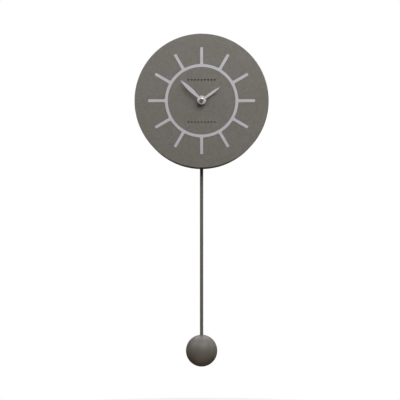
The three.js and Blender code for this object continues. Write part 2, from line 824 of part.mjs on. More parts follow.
// Gripped rim with a bore for the stem
function settingKnob() {
  const grips = 20;
  const outline = [];
  for (let grip = 0; grip < grips; grip += 1) {
    const middle = (2 * Math.PI * grip) / grips;
    for (const [radius, offset] of [[5.6, -0.11], [6.2, -0.05], [6.2, 0.05], [5.6, 0.11]]) {
      outline.push(new THREE.Vector2(radius, 0).rotateAround(CENTRE, middle + offset).add(MINUTE));
    }
  }
  const rim = plate(new THREE.Shape(outline), deep(CASE_DEPTH + 0.8), deep(CASE_DEPTH + 5.8));
  return cut(rim, pin(STEM_RADIUS + 0.1, deep(CASE_DEPTH), deep(CASE_DEPTH + 4.5), 14, MINUTE));
}

const train = section();
add(train, "centre_arbor", centreArbor(), STEEL);
add(train, "centre_wheel", centreWheel(), WHITE_PLASTIC);
add(train, "third_wheel", thirdWheel(), WHITE_PLASTIC);
add(train, "fourth_wheel", fourthWheel(), WHITE_PLASTIC);
add(train, "step_wheel", stepWheel(), WHITE_PLASTIC);
add(train, "rotor_pinion", rotorPinion(), WHITE_PLASTIC);
add(
  train,
  "rotor_magnet",
  ring(PIVOT_RADIUS + 0.1, 2.5, ...ROTOR_MAGNET_DEPTH.map(deep), 20, ROTOR),
  MAGNET,
);
add(train, "minute_wheel", minuteWheel(), WHITE_PLASTIC);
add(train, "hour_wheel", hourWheel(), BLACK_PLASTIC);
add(train, "setting_knob", settingKnob(), BLACK_PLASTIC);

// ---------------------------------------------------------------- hands

// A leaf blade that points up: narrow at the hub, widest part-way and drawn to a point
function handShape({ length, waist, belly, bellyAt, hub, hole }) {
  const shape = new THREE.Shape();
  const blend = Math.asin(waist / 2 / hub);
  shape.absarc(0, 0, hub, Math.PI / 2 + blend, Math.PI / 2 - blend + 2 * Math.PI, false);
  const low = new THREE.Vector2(0.465 * belly, hub + 0.4 * (bellyAt - hub));
  const high = new THREE.Vector2(0.475 * belly, bellyAt + 0.6 * (length - bellyAt));
  shape.quadraticCurveTo(low.x, low.y, belly / 2, bellyAt);
  shape.quadraticCurveTo(high.x, high.y, 0.12, length);
  shape.lineTo(-0.12, length);
  shape.quadraticCurveTo(-high.x, high.y, -belly / 2, bellyAt);
  shape.quadraticCurveTo(-low.x, low.y, -waist / 2, hub * Math.cos(blend));
  shape.holes.push(circleHole(0, 0, hole, 20));
  return shape;
}

function hand(blade, front, collarInner, collarOuter, collarBack, angle) {
  const stamping = plate(handShape(blade), front, front + BLADE_THICKNESS, 8);
  const boss = ring(collarInner, blade.hub - 0.15, front + 0.1, front + HUB_THICKNESS, 32);
  const collar = ring(collarInner, collarOuter, front + BLADE_THICKNESS - 0.1, collarBack, 20);
  return joined(stamping, boss, collar).rotateY(radians(angle));
}

const HOUR_BLADE = {
  length: HOUR_HAND_LENGTH,
  waist: 3,
  belly: 4.7,
  bellyAt: 22,
  hub: 5.4,
  hole: HOUR_TUBE.outer + 0.1,
};
const MINUTE_BLADE = {
  length: MINUTE_HAND_LENGTH,
  waist: 3.3,
  belly: 6.8,
  bellyAt: 27,
  hub: 7.9,
  hole: 1.3,
};

const HAND_NUT = {
  radius: 3.8,
  edge: 1.5,
  bore: 1.3,
  front: ARBOR_TIP - 0.8,
  foot: MINUTE_HAND_FRONT - 0.05,
};

// Round cap with a flat front and a rounded edge that screws on the arbor's tip
function handNut() {
  const { radius, edge, bore, front, foot } = HAND_NUT;
  const profile = new THREE.Path();
  profile.moveTo(0, front);
  profile.lineTo(radius - edge, front);
  profile.absarc(radius - edge, front + edge, edge, -Math.PI / 2, 0);
  profile.lineTo(radius, foot);
  profile.lineTo(0, foot);
  const body = new THREE.LatheGeometry(profile.getPoints(3), 24);
  return cut(body, pin(bore, ARBOR_TIP - 0.1, foot + 1, 16));
}

const hands = section();
add(
  hands,
  "hour_hand",
  hand(
    HOUR_BLADE,
    HOUR_HAND_FRONT,
    HOUR_TUBE.outer + 0.1,
    3.6,
    HOUR_HAND_FRONT + 0.9,
    HOUR_HAND_ANGLE,
  ),
  SILVER_PAINT,
);
add(
  hands,
  "minute_hand",
  hand(
    MINUTE_BLADE,
    MINUTE_HAND_FRONT,
    ARBOR_RADIUS + 0.05,
    3,
    MINUTE_HAND_FRONT + 1.3,
    MINUTE_HAND_ANGLE,
  ),
  SILVER_PAINT,
);
add(hands, "hand_nut", handNut(), BRASS);

// ---------------------------------------------------------------- pendulum

const DRIVE_MAGNET_RADIUS = 4;
const HOOK_PEG_RADIUS = 0.9;

// Lever on the pivot pin: a hub, a ring that holds the drive magnet, and a peg that carries the rod
function pendulumLever() {
  const front = deep(LEVER_DEPTH);
  const back = deep(LEVER_DEPTH + LEVER_THICKNESS);
  const arm = box([-2.5, 2.5], [front, back], [HOOK_Z + 5, PIVOT_Z]);
  const tail = new THREE.Shape();
  tail.absarc(0, HOOK_Z, 2.5, Math.PI, 2 * Math.PI);
  tail.lineTo(2.5, HOOK_Z + 6);
  tail.lineTo(-2.5, HOOK_Z + 6);
  const body = joined(
    arm,
    pin(3.3, front, back, 20, PIVOT),
    pin(6.2, front, back, 28, DRIVE_COIL),
    plate(tail, front, front + 1.1),
    pin(HOOK_PEG_RADIUS, front + 1, back + 0.2, 12, new THREE.Vector2(0, HOOK_Z)),
    pin(1.4, back - 0.3, back + 0.2, 12, new THREE.Vector2(0, HOOK_Z)),
  );
  return cut(
    body,
    pin(0.95, front - 1, back + 1, 12, PIVOT),
    pin(DRIVE_MAGNET_RADIUS + 0.05, front - 1, back + 1, 24, DRIVE_COIL),
  );
}

// Flat eye that hangs on the lever's peg, with a plug that fits the rod tube
function rodEye() {
  const eye = new THREE.Shape();
  const eyeZ = HOOK_Z - 0.65;
  eye.absarc(0, eyeZ, 2.9, 0, Math.PI);
  eye.lineTo(-2, ROD_TOP + 0.2);
  eye.lineTo(2, ROD_TOP + 0.2);
  eye.holes.push(circleHole(0, eyeZ, 1.6));
  const tongue = plate(eye, ROD_Y - 0.2, ROD_Y + 0.8, 8);
  const plug = turnedUpright(
    [
      [0, ROD_TOP - 12],
      [ROD_BORE - 0.1, ROD_TOP - 12],
      [ROD_BORE - 0.1, ROD_TOP],
      [ROD_RADIUS, ROD_TOP + 0.05],
      [ROD_RADIUS, ROD_TOP + 0.8],
      [0, ROD_TOP + 1.6],
    ],
    16,
  );
  return joined(tongue, plug);
}

const ROD_IN_BALL = 8; // how deep the rod tube sits in the ball
const BALL_BORE = 3.3;
const BALL_TOP = BALL_Z + Math.sqrt(BALL_RADIUS ** 2 - BALL_BORE ** 2);
const ROD_BOTTOM = BALL_TOP - ROD_IN_BALL;
const STUD_RADIUS = 1.5;

function rodTube() {
  return turnedUpright(
    [
      [ROD_BORE, ROD_BOTTOM],
      [ROD_RADIUS, ROD_BOTTOM],
      [ROD_RADIUS, ROD_TOP],
      [ROD_BORE, ROD_TOP],
      [ROD_BORE, ROD_BOTTOM],
    ],
    20,
  );
}

function rodStud() {
  return turnedUpright(
    [
      [0, ROD_BOTTOM - 16],
      [STUD_RADIUS, ROD_BOTTOM - 16],
      [STUD_RADIUS, ROD_BOTTOM],
      [ROD_BORE - 0.1, ROD_BOTTOM],
      [ROD_BORE - 0.1, ROD_BOTTOM + 10],
      [0, ROD_BOTTOM + 10],
    ],
    16,
  );
}

const INSERT_TOP = ROD_BOTTOM - 6;
const INSERT_LENGTH = 11;

function ballInsert() {
  const bottom = INSERT_TOP - INSERT_LENGTH;
  return turnedUpright(
    [
      [STUD_RADIUS + 0.1, bottom],
      [BALL_BORE - 0.1, bottom],
      [BALL_BORE - 0.1, INSERT_TOP],
      [STUD_RADIUS + 0.1, INSERT_TOP],
      [STUD_RADIUS + 0.1, bottom],
    ],
    16,
  );
}

function ball() {
  const borePath = new THREE.Path();
  const mouth = Math.asin(BALL_BORE / BALL_RADIUS);
  const boreBottom = INSERT_TOP - INSERT_LENGTH - 0.5;
  borePath.absarc(0, BALL_Z, BALL_RADIUS, -Math.PI / 2, Math.PI / 2 - mouth);
  borePath.lineTo(BALL_BORE, boreBottom);
  borePath.lineTo(0, boreBottom);
  return turnedUpright(
    borePath.getPoints(8).map((point) => [point.x, point.y]),
    28,
  );
}

const pendulum = section();
add(pendulum, "pendulum_lever", pendulumLever(), WHITE_PLASTIC);
add(
  pendulum,
  "drive_magnet",
  pin(DRIVE_MAGNET_RADIUS, deep(LEVER_DEPTH - 0.4), deep(LEVER_DEPTH + 2.6), 24, DRIVE_COIL),
  MAGNET,
);
add(pendulum, "rod_eye", rodEye(), STEEL);
add(pendulum, "pendulum_rod", rodTube(), TAUPE);
add(pendulum, "rod_stud", rodStud(), STEEL);
add(pendulum, "ball_insert", ballInsert(), BRASS);
add(pendulum, "ball", ball(), TAUPE);

export default new THREE.Group().add(clock);
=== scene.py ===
"""Looks of the pendulum wall clock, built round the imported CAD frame.

Metres, +Z up, the front faces -Y. Sizes named here are millimetres until MM turns them into metres. Each
piece is placed from the frame's own boxes, and its outline is drawn as seen from the front: x right, z up,
y is depth.
"""

import json
import math

import bmesh
import bpy
from mathutils import Matrix, Vector

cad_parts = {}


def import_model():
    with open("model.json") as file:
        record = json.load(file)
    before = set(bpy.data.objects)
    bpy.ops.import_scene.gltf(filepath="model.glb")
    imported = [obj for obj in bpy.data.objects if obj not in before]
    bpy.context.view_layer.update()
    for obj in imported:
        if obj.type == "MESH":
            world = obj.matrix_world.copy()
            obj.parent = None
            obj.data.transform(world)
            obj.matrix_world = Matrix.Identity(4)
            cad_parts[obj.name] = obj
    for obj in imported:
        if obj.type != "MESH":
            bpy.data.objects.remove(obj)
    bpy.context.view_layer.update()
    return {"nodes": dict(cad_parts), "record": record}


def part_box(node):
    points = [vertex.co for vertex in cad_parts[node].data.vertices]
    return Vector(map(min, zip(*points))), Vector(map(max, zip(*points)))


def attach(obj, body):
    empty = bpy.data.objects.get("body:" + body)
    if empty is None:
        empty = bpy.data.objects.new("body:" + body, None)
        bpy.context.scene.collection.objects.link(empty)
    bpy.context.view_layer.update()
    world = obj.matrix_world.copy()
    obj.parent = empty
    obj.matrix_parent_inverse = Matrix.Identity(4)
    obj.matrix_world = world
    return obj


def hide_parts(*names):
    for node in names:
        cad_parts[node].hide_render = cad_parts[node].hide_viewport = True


MM = 0.001
TURN = 2 * math.pi

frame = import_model()
BODY_OF = {n: body for body, nodes in frame["record"]["behaviour"]["bodies"].items() for n in nodes}


def middle(node):
    low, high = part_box(node)
    return (low + high) / 2


def half_size(node):
    low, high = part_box(node)
    return (high - low) / 2


DIAL_CENTRE = Vector((0, 0, middle("dial_board").z))

# ---------------------------------------------------------------- node tools for materials

NOISE_RANGE = (0.3, 0.7)  # where most values of a noise lie
SHADER_INPUTS = {"colour": "Base Color", "roughness": "Roughness", "metallic": "Metallic"}


def start_material(name, roughness, metallic=0.0, specular=0.5):
    """A Principled material with its fixed numbers set on the shader's own sockets."""
    material = bpy.data.materials.new(name)
    material.use_nodes = True
    shader = material.node_tree.nodes["Principled BSDF"]
    shader.inputs["Roughness"].default_value = roughness
    shader.inputs["Metallic"].default_value = metallic
    shader.inputs["Specular IOR Level"].default_value = specular
    return material, material.node_tree, shader


def add_node(tree, kind, **settings):
    node = tree.nodes.new(kind)
    for key, value in settings.items():
        setattr(node, key, value)
    return node


def place(tree, stretch=(1, 1, 1)):
    """Object coordinates, which are metres in the row frame, stretched along each axis."""
    coordinate = add_node(tree, "ShaderNodeTexCoord")
    mapping = add_node(tree, "ShaderNodeMapping")
    mapping.inputs["Scale"].default_value = stretch
    tree.links.new(coordinate.outputs["Object"], mapping.inputs["Vector"])
    return mapping.outputs["Vector"]


def noise(tree, size, detail=2.0, stretch=(1, 1, 1), roughness=0.5):
    """Noise whose features are about size millimetres across."""
    texture = add_node(tree, "ShaderNodeTexNoise")
    texture.inputs["Scale"].default_value = 1 / (size * MM)
    texture.inputs["Detail"].default_value = detail
    texture.inputs["Roughness"].default_value = roughness
    tree.links.new(place(tree, stretch), texture.inputs["Vector"])
    return texture.outputs["Fac"]


def cells(tree, size):
    """Distance from the middle of rounded cells about size millimetres across."""
    texture = add_node(tree, "ShaderNodeTexVoronoi")
    texture.inputs["Scale"].default_value = 1 / (size * MM)
    tree.links.new(place(tree), texture.inputs["Vector"])
    return texture.outputs["Distance"]


def remap(tree, value, low, high, out_low=0.0, out_high=1.0):
    """The range from low to high stretched onto the one from out_low to out_high, and clamped there."""
    node = add_node(tree, "ShaderNodeMapRange")
    tree.links.new(value, node.inputs["Value"])
    limits = {"From Min": low, "From Max": high, "To Min": out_low, "To Max": out_high}
    for socket, number in limits.items():
        node.inputs[socket].default_value = number
    return node.outputs["Result"]


def spread(tree, noise_value, low=0.0, high=1.0):
    """A noise's usual range stretched so that it runs from low to high."""
    return remap(tree, noise_value, *NOISE_RANGE, low, high)


def maths(tree, operation, first, second=None):
    """One step of arithmetic on node outputs or plain numbers."""
    node = add_node(tree, "ShaderNodeMath", operation=operation)
    for socket, value in zip(node.inputs, (first, second)):
        if value is None:
            continue
        if isinstance(value, (int, float)):
            socket.default_value = value
        else:
            tree.links.new(value, socket)
    return node.outputs["Value"]


def mix_colour(tree, factor, first, second):
    """A mix of two colours, each a plain (red, green, blue) or a node output."""
    node = add_node(tree, "ShaderNodeMix", data_type="RGBA")
    sockets = [s for s in node.inputs if s.type == "RGBA"]
    tree.links.new(factor, node.inputs["Factor"])
    for socket, value in zip(sockets, (first, second)):
        if isinstance(value, tuple):
            socket.default_value = (*value, 1)
        else:
            tree.links.new(value, socket)
    return [s for s in node.outputs if s.type == "RGBA"][0]


def relief(tree, shader, height, depth, strength):
    """Bump of depth millimetres from a height between 0 and 1."""
    node = add_node(tree, "ShaderNodeBump")
    node.inputs["Distance"].default_value = depth * MM
    node.inputs["Strength"].default_value = strength
    tree.links.new(height, node.inputs["Height"])
    tree.links.new(node.outputs["Normal"], shader.inputs["Normal"])


def feed(tree, shader, **values):
    """Links node outputs to the shader's colour, roughness or metallic."""
    for name, value in values.items():
        tree.links.new(value, shader.inputs[SHADER_INPUTS[name]])


def shade(colour, factor):
    return tuple(min(1.0, channel * factor) for channel in colour)


def tinted(colour, factor, blue_factor):
    """A darker or lighter shade whose blue is scaled on its own, so that it leans warm or cool."""
    return (*shade(colour, factor)[:2], min(1.0, colour[2] * blue_factor))


def waves(tree, value, pitch):
    """A sine of a length in metres that repeats each pitch millimetres, between -1 and 1."""
    return maths(tree, "SINE", maths(tree, "MULTIPLY", value, TURN / (pitch * MM)))


def axis_value(tree, axis):
    """One object coordinate, in metres."""
    split = add_node(tree, "ShaderNodeSeparateXYZ")
    tree.links.new(place(tree), split.inputs["Vector"])
    return split.outputs[axis]


def distance_from(tree, centre):
    """Distance in metres from a front-to-back line through centre."""
    offset = add_node(tree, "ShaderNodeVectorMath", operation="SUBTRACT")
    offset.inputs[1].default_value = centre
    tree.links.new(place(tree), offset.inputs[0])
    across = add_node(tree, "ShaderNodeVectorMath", operation="MULTIPLY")
    across.inputs[1].default_value = (1, 0, 1)
    tree.links.new(offset.outputs["Vector"], across.inputs[0])
    length = add_node(tree, "ShaderNodeVectorMath", operation="LENGTH")
    tree.links.new(across.outputs["Vector"], length.inputs[0])
    return length.outputs["Value"]


# ---------------------------------------------------------------- materials

TAUPE = (0.178, 0.165, 0.147)
# Painted shade: the drum's colour, far darker and browner than the dial's taupe, stands mostly for the
# shade under the drum
DRUM_UMBER_PAINTED_SHADE = (0.070, 0.058, 0.044)
SILVER = (0.548, 0.533, 0.570)


def lacquer(name, colour, roughness=0.6, contrast=1.0):
    """Sprayed matt lacquer: fine grain over a cloudy mottling that leans warm or cool."""
    material, tree, shader = start_material(name, roughness, specular=0.4)

    def cloud(change, blue_change):
        return tinted(colour, 1 + contrast * change, 1 + contrast * blue_change)

    grain = noise(tree, 0.6, detail=3, roughness=0.7)
    mottling = noise(tree, 3.6, detail=4, roughness=0.8)
    drift = spread(tree, noise(tree, 38, detail=2))
    dark = mix_colour(tree, drift, cloud(-0.25, -0.29), cloud(-0.21, -0.18))
    light = mix_colour(tree, drift, cloud(0.19, 0.16), cloud(0.22, 0.27))
    cloudy = mix_colour(tree, spread(tree, mottling), dark, light)
    specks = remap(tree, grain, 0.35, 0.68, 0.0, 0.25)
    feed(
        tree,
        shader,
        colour=mix_colour(tree, specks, cloudy, shade(colour, 1.45)),
        roughness=spread(tree, grain, roughness - 0.06, roughness + 0.08),
    )
    relief(tree, shader, grain, 0.04 * contrast, 0.5)
    return material


def fibreboard(name):
    """Bare fibreboard with a dusting of overspray."""
    material, tree, shader = start_material(name, 0.85, specular=0.2)
    fibres = noise(tree, 0.6, detail=4, stretch=(1, 0.25, 1), roughness=0.75)
    mist = remap(tree, noise(tree, 14, detail=3), 0.45, 0.75, 0.0, 0.55)
    board = mix_colour(tree, spread(tree, fibres), (0.19, 0.125, 0.075), (0.31, 0.215, 0.13))
    feed(tree, shader, colour=mix_colour(tree, mist, board, TAUPE))
    relief(tree, shader, fibres, 0.08, 0.6)
    return material


def silver_paint(name, roughness=0.52):
    """Satin silver lacquer with fine metal flakes, their glint painted in as lighter spots."""
    material, tree, shader = start_material(name, roughness, metallic=0.05, specular=0.2)
    flakes = cells(tree, 0.22)
    # Painted glint: the flakes are coloured lighter than the lacquer round them
    flake_glint = remap(tree, flakes, 0.1, 0.7, 0.25, 0.0)
    drift = spread(tree, noise(tree, 6, detail=2))
    base = mix_colour(tree, drift, shade(SILVER, 0.97), shade(SILVER, 1.03))
    feed(
        tree,
        shader,
        colour=mix_colour(tree, flake_glint, base, shade(SILVER, 1.3)),
        roughness=remap(tree, flakes, 0.0, 0.8, roughness - 0.1, roughness + 0.05),
    )
    relief(tree, shader, flakes, 0.012, 0.4)
    return material


def brushed_metal(name, colour, roughness=0.32, stretch=(1, 1, 0.04)):
    """Metal with fine lines along the axis of the smallest stretch and patches of duller skin."""
    material, tree, shader = start_material(name, roughness, metallic=1.0)
    lines = noise(tree, 0.16, detail=3, stretch=stretch, roughness=0.6)
    dull = remap(tree, noise(tree, 3.5, detail=3), 0.42, 0.7, 0.0, 0.25)
    fresh = mix_colour(tree, spread(tree, lines), shade(colour, 0.9), shade(colour, 1.08))
    feed(
        tree,
        shader,
        colour=mix_colour(tree, dull, fresh, shade(colour, 0.6)),
        roughness=maths(tree, "ADD", spread(tree, lines, roughness - 0.07, roughness + 0.07), dull),
    )
    relief(tree, shader, lines, 0.01, 0.5)
    return material


def turning_marks(tree, shader, radius):
    """The fine rings that a lathe leaves round the axis that radius is measured from."""
    rings = waves(tree, radius, 0.14)
    relief(tree, shader, remap(tree, rings, -1, 1), 0.004, 0.4)


def turned_metal(name, colour, centre):
    """Metal turned on a lathe about a front-to-back axis, with a little tarnish."""
    material, tree, shader = start_material(name, 0.25, metallic=1.0)
    tarnish = noise(tree, 2.2, detail=4)
    feed(
        tree,
        shader,
        colour=mix_colour(tree, remap(tree, tarnish, 0.4, 0.75), shade(colour, 1.05), shade(colour, 0.66)),
        roughness=remap(tree, tarnish, 0.35, 0.75, 0.19, 0.43),
    )
    turning_marks(tree, shader, distance_from(tree, centre))
    return material


def brass_nut_painted_reflection(name, centre, face_radius):
    """Brass nut whose flat face is painted dark brown, a painted reflection of the dim surroundings,
    polished bright along its rounded edge.
    """
    material, tree, shader = start_material(name, 0.3)
    radius = distance_from(tree, centre)
    polish = remap(tree, radius, (face_radius - 0.15) * MM, (face_radius + 0.25) * MM)
    tarnish = remap(tree, noise(tree, 1.1, detail=4), 0.35, 0.7)
    # Painted reflection: the face's dark browns stand for the dim surroundings the flat face mirrors; the
    # noise only blotches them at random
    face = mix_colour(tree, tarnish, (0.23, 0.18, 0.125), (0.15, 0.115, 0.08))
    feed(
        tree,
        shader,
        colour=mix_colour(tree, polish, face, (0.90, 0.85, 0.78)),
        metallic=remap(tree, polish, 0, 1, 0.5, 1.0),
        roughness=remap(tree, polish, 0, 1, 0.4, 0.14),
    )
    turning_marks(tree, shader, radius)
    return material


def moulded_plastic(name, colour, roughness=0.48, texture=0.28, depth=0.02):
    """Injection-moulded plastic with the fine texture of the mould and faint flow marks."""
    material, tree, shader = start_material(name, roughness)
    pits = noise(tree, texture, detail=2, roughness=0.6)
    flow = spread(tree, noise(tree, 16, detail=2, stretch=(1, 1, 0.5)))
    feed(
        tree,
        shader,
        colour=mix_colour(tree, flow, shade(colour, 0.9), shade(colour, 1.12)),
        roughness=spread(tree, pits, roughness - 0.08, roughness + 0.08),
    )
    relief(tree, shader, pits, depth, 0.5)
    return material


def soft_rubber(name):
    """Black rubber, dusty in patches."""
    material, tree, shader = start_material(name, 0.82, specular=0.3)
    grain = noise(tree, 0.5, detail=3)
    dust = remap(tree, noise(tree, 5, detail=3), 0.5, 0.8, 0.0, 0.4)
    feed(
        tree,
        shader,
        colour=mix_colour(tree, dust, (0.018, 0.018, 0.018), (0.09, 0.085, 0.08)),
        roughness=spread(tree, grain, 0.74, 0.92),
    )
    relief(tree, shader, grain, 0.03, 0.6)
    return material


def ferrite_block(name):
    """Pressed and ground ferrite: dark grey with fine pores, darkened as painted shade, and grinding lines.
    """
    material, tree, shader = start_material(name, 0.5, metallic=0.35)
    pore_pits_and_painted_shade = cells(tree, 0.35)
    lines = noise(tree, 0.2, detail=2, stretch=(0.06, 1, 1))
    feed(
        tree,
        shader,
        # Painted shade: the pores are coloured darker than the ferrite round them
        colour=mix_colour(tree, remap(tree, pore_pits_and_painted_shade, 0.0, 0.35), (0.03, 0.03, 0.032), (0.095, 0.095, 0.1)),
        roughness=spread(tree, lines, 0.38, 0.62),
    )
    relief(tree, shader, pore_pits_and_painted_shade, 0.02, 0.4)
    return material


def copper_wire(name, axis):
    """Enamelled wire wound side by side: the turns show as fine ridges across the winding's axis, with
    painted shade in the grooves between them.
    """
    pitch = 0.32
    material, tree, shader = start_material(name, 0.3, metallic=0.9)
    ridge = remap(tree, waves(tree, axis_value(tree, axis), pitch), -1, 1)
    # Painted shade: the grooves between turns are coloured dark brown
    groove_painted_shade = remap(tree, ridge, 0.0, 0.35, 1.0, 0.0)
    varnish = noise(tree, 2.5, detail=3)
    lit = mix_colour(tree, spread(tree, varnish), (0.46, 0.15, 0.045), (0.62, 0.24, 0.08))
    feed(
        tree,
        shader,
        colour=mix_colour(tree, groove_painted_shade, lit, (0.11, 0.03, 0.01)),
        roughness=spread(tree, varnish, 0.22, 0.4),
    )
    relief(tree, shader, ridge, 0.1, 0.8)
    return material


def circuit_lacquer(name):
    """Green solder mask over copper tracks that run in straight steps."""
    material, tree, shader = start_material(name, 0.32)
    upright = waves(tree, axis_value(tree, "X"), 2.4)
    level = waves(tree, axis_value(tree, "Z"), 5.2)
    raised = remap(tree, maths(tree, "MAXIMUM", upright, level), 0.72, 0.8)
    mottling = spread(tree, noise(tree, 1.2, detail=3))
    mask = mix_colour(tree, mottling, (0.008, 0.075, 0.03), (0.014, 0.11, 0.045))
    feed(tree, shader, colour=mix_colour(tree, raised, mask, (0.05, 0.22, 0.075)))
    relief(tree, shader, raised, 0.04, 0.7)
    return material


def battery_sleeve(name, node):
    """Printed foil sleeve with a plain band at the positive end and bare steel at both ends."""
    material, tree, shader = start_material(name, 0.3, metallic=0.55)
    low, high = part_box(node)
    share = maths(tree, "DIVIDE", maths(tree, "SUBTRACT", axis_value(tree, "X"), low.x), high.x - low.x)

    def past(start, blur):
        return remap(tree, share, start, start + blur)

    def before(end, blur):
        return remap(tree, share, end, end + blur, 1.0, 0.0)

    band = past(0.715, 0.005)
    line = maths(tree, "MULTIPLY", past(0.685, 0.005), before(0.70, 0.005))
    steel = maths(tree, "MAXIMUM", past(0.975, 0.003), before(0.012, 0.003))
    sleeve = mix_colour(tree, band, (0.022, 0.05, 0.13), (0.62, 0.36, 0.12))
    sleeve = mix_colour(tree, line, sleeve, (0.75, 0.75, 0.72))
    sleeve = mix_colour(tree, steel, sleeve, (0.62, 0.62, 0.63))
    scuffs = noise(tree, 1.2, detail=4, stretch=(0.2, 1, 1))
    worn = remap(tree, scuffs, 0.6, 0.8, 0.0, 0.25)
    feed(
        tree,
        shader,
        colour=mix_colour(tree, worn, sleeve, (0.45, 0.45, 0.46)),
        roughness=remap(tree, scuffs, 0.3, 0.8, 0.2, 0.45),
    )
    relief(tree, shader, scuffs, 0.01, 0.4)
    return material


LACQUER = lacquer("taupe_lacquer", TAUPE)
# Painted shade: the drum's lacquer is darkened to stand for the shade its underside sits in
DRUM_LACQUER_PAINTED_SHADE = lacquer("umber_lacquer_drum_painted_shade", DRUM_UMBER_PAINTED_SHADE, roughness=0.55)
# Painted shade: the rod's and the ball's lacquer is the dial's taupe made darker, standing for the dimmer
# light further below the dial
ROD_LACQUER_PAINTED_SHADE = lacquer("taupe_lacquer_rod_painted_shade", shade(TAUPE, 0.83), roughness=0.5, contrast=0.3)
BALL_LACQUER_PAINTED_SHADE = lacquer("taupe_lacquer_ball_painted_shade", shade(TAUPE, 0.77), roughness=0.45, contrast=0.4)
BARE_BOARD = fibreboard("bare_fibreboard")
INLAY_SILVER = silver_paint("inlay_silver")
HAND_SILVER = silver_paint("hand_silver", roughness=0.4)
PRINT = moulded_plastic("dark_print", shade(TAUPE, 0.24), roughness=0.6)
BRASS = turned_metal("turned_brass", (0.60, 0.44, 0.24), tuple(DIAL_CENTRE))
NUT_BRASS_PAINTED_REFLECTION = brass_nut_painted_reflection("brass_nut_painted_reflection", tuple(DIAL_CENTRE), 2.3)
INSERT_BRASS = brushed_metal("insert_brass", (0.66, 0.47, 0.2), stretch=(1, 1, 0.1))
STEEL = brushed_metal("zinc_steel", (0.58, 0.59, 0.6))
SOFT_IRON = brushed_metal("soft_iron", (0.38, 0.39, 0.4), roughness=0.42, stretch=(0.05, 1, 1))
FERRITE = ferrite_block("ferrite")
BLACK_PLASTIC = moulded_plastic("black_plastic", (0.016, 0.016, 0.017), texture=0.4, depth=0.03)
WHITE_PLASTIC = moulded_plastic("white_acetal", (0.74, 0.73, 0.69), roughness=0.38, depth=0.008)
NATURAL_PLASTIC = moulded_plastic("natural_plastic", (0.62, 0.56, 0.43), roughness=0.45)
RUBBER = soft_rubber("rubber")
BOARD = circuit_lacquer("circuit_board")
STEP_COIL = copper_wire("step_coil_wire", "X")
DRIVE_COIL = copper_wire("drive_coil_wire", "Y")
BATTERY = battery_sleeve("battery_sleeve", "battery")

# ---------------------------------------------------------------- mesh tools

SHARP = 42  # degrees: a crease steeper than this stays sharp
TINY = 0.01  # edge rounding of cutters and prints, too small to see


def arc(x, z, radius, start, end, steps):
    """Points on an arc, angles in degrees anticlockwise from the right as seen from the front."""
    angles = [math.radians(start + (end - start) * k / steps) for k in range(steps + 1)]
    return [(x + radius * math.cos(a), z + radius * math.sin(a)) for a in angles]


def circle(x, z, radius, steps):
    return arc(x, z, radius, 0, 360, steps)[:-1]


def softened(points, radius, steps=3, closed=True):
    """A polygon or open line with each corner rounded, as far as its sides allow."""
    nearly_straight = math.radians(165)
    count = len(points)
    result = []
    for k, point in enumerate(points):
        if not closed and k in (0, count - 1):
            result.append(tuple(point))
            continue
        here = Vector(point)
        before = Vector(points[k - 1]) - here
        after = Vector(points[(k + 1) % count]) - here
        bend = before.angle(after)
        if bend > nearly_straight:
            result.append(tuple(point))
            continue
        reach = min(radius / math.tan(bend / 2), before.length * 0.45, after.length * 0.45)
        first = here + before.normalized() * reach
        last = here + after.normalized() * reach
        for step in range(steps + 1):
            t = step / steps
            result.append(tuple(first.lerp(here, t).lerp(here.lerp(last, t), t)))
    return result


def ring_of(bm, points, depth):
    """New corners at points of (x, z), all at one depth."""
    return [bm.verts.new((x * MM, depth * MM, z * MM)) for x, z in points]


def join_rings(bm, first, second):
    """Faces between two rings of points. A ring of one point is a pole."""
    count = max(len(first), len(second))
    for k in range(count):
        corners = []
        for ring, index in ((first, k), (first, k + 1), (second, k + 1), (second, k)):
            corner = ring[index % len(ring)]
            if corner not in corners:
                corners.append(corner)
        if len(corners) > 2:
            bm.faces.new(corners)


def cap(bm, rings):
    """Fills the flat area inside the first ring and outside the others."""
    edges = []
    for ring in rings:
        for k, corner in enumerate(ring):
            edges.append(bm.edges.get((corner, ring[k - 1])) or bm.edges.new((corner, ring[k - 1])))
    bmesh.ops.triangle_fill(bm, use_beauty=True, use_dissolve=False, edges=edges)


def inset(points, distance):
    """The outline moved sideways by distance, to the left of its travel. Very sharp corners move less."""
    count = len(points)
    moved = []
    for k, point in enumerate(points):
        here = Vector(point)
        along_in = (here - Vector(points[k - 1])).normalized()
        along_out = (Vector(points[(k + 1) % count]) - here).normalized()
        left_in = Vector((-along_in.y, along_in.x))
        left_out = Vector((-along_out.y, along_out.x))
        normal = left_in + left_out
        scale = 2 / max(normal.length_squared, 0.8)
        moved.append(tuple(here + normal * scale * distance))
    return moved


def slab(bm, outline, holes, front, back, edge, steps=2):
    """A plate with rounded edges. From the front its outline runs anticlockwise and each hole clockwise."""
    front_rings = []
    back_rings = []
    for loop in [outline, *holes]:
        rings = []
        for at, way in ((front, 1), (back, -1)):
            rounding = []
            for step in range(steps + 1):
                angle = math.pi / 2 * step / steps
                points = inset(loop, edge * (1 - math.sin(angle)))
                rounding.append(ring_of(bm, points, at + way * edge * (1 - math.cos(angle))))
            rings += rounding if way == 1 else rounding[::-1]
        for first, second in zip(rings, rings[1:]):
            join_rings(bm, first, second)
        front_rings.append(rings[0])
        back_rings.append(rings[-1])
    cap(bm, front_rings)
    cap(bm, back_rings)


def turn(bm, profile, steps, closed=False):
    """Turns a profile of (radius, depth) about a front-to-back axis. A closed profile makes a ring."""
    rings = []
    for radius, depth in profile:
        points = circle(0, 0, radius, steps) if radius > 0 else [(0, 0)]
        rings.append(ring_of(bm, points, depth))
    for first, second in zip(rings, rings[1:]):
        join_rings(bm, first, second)
    if closed:
        join_rings(bm, rings[-1], rings[0])


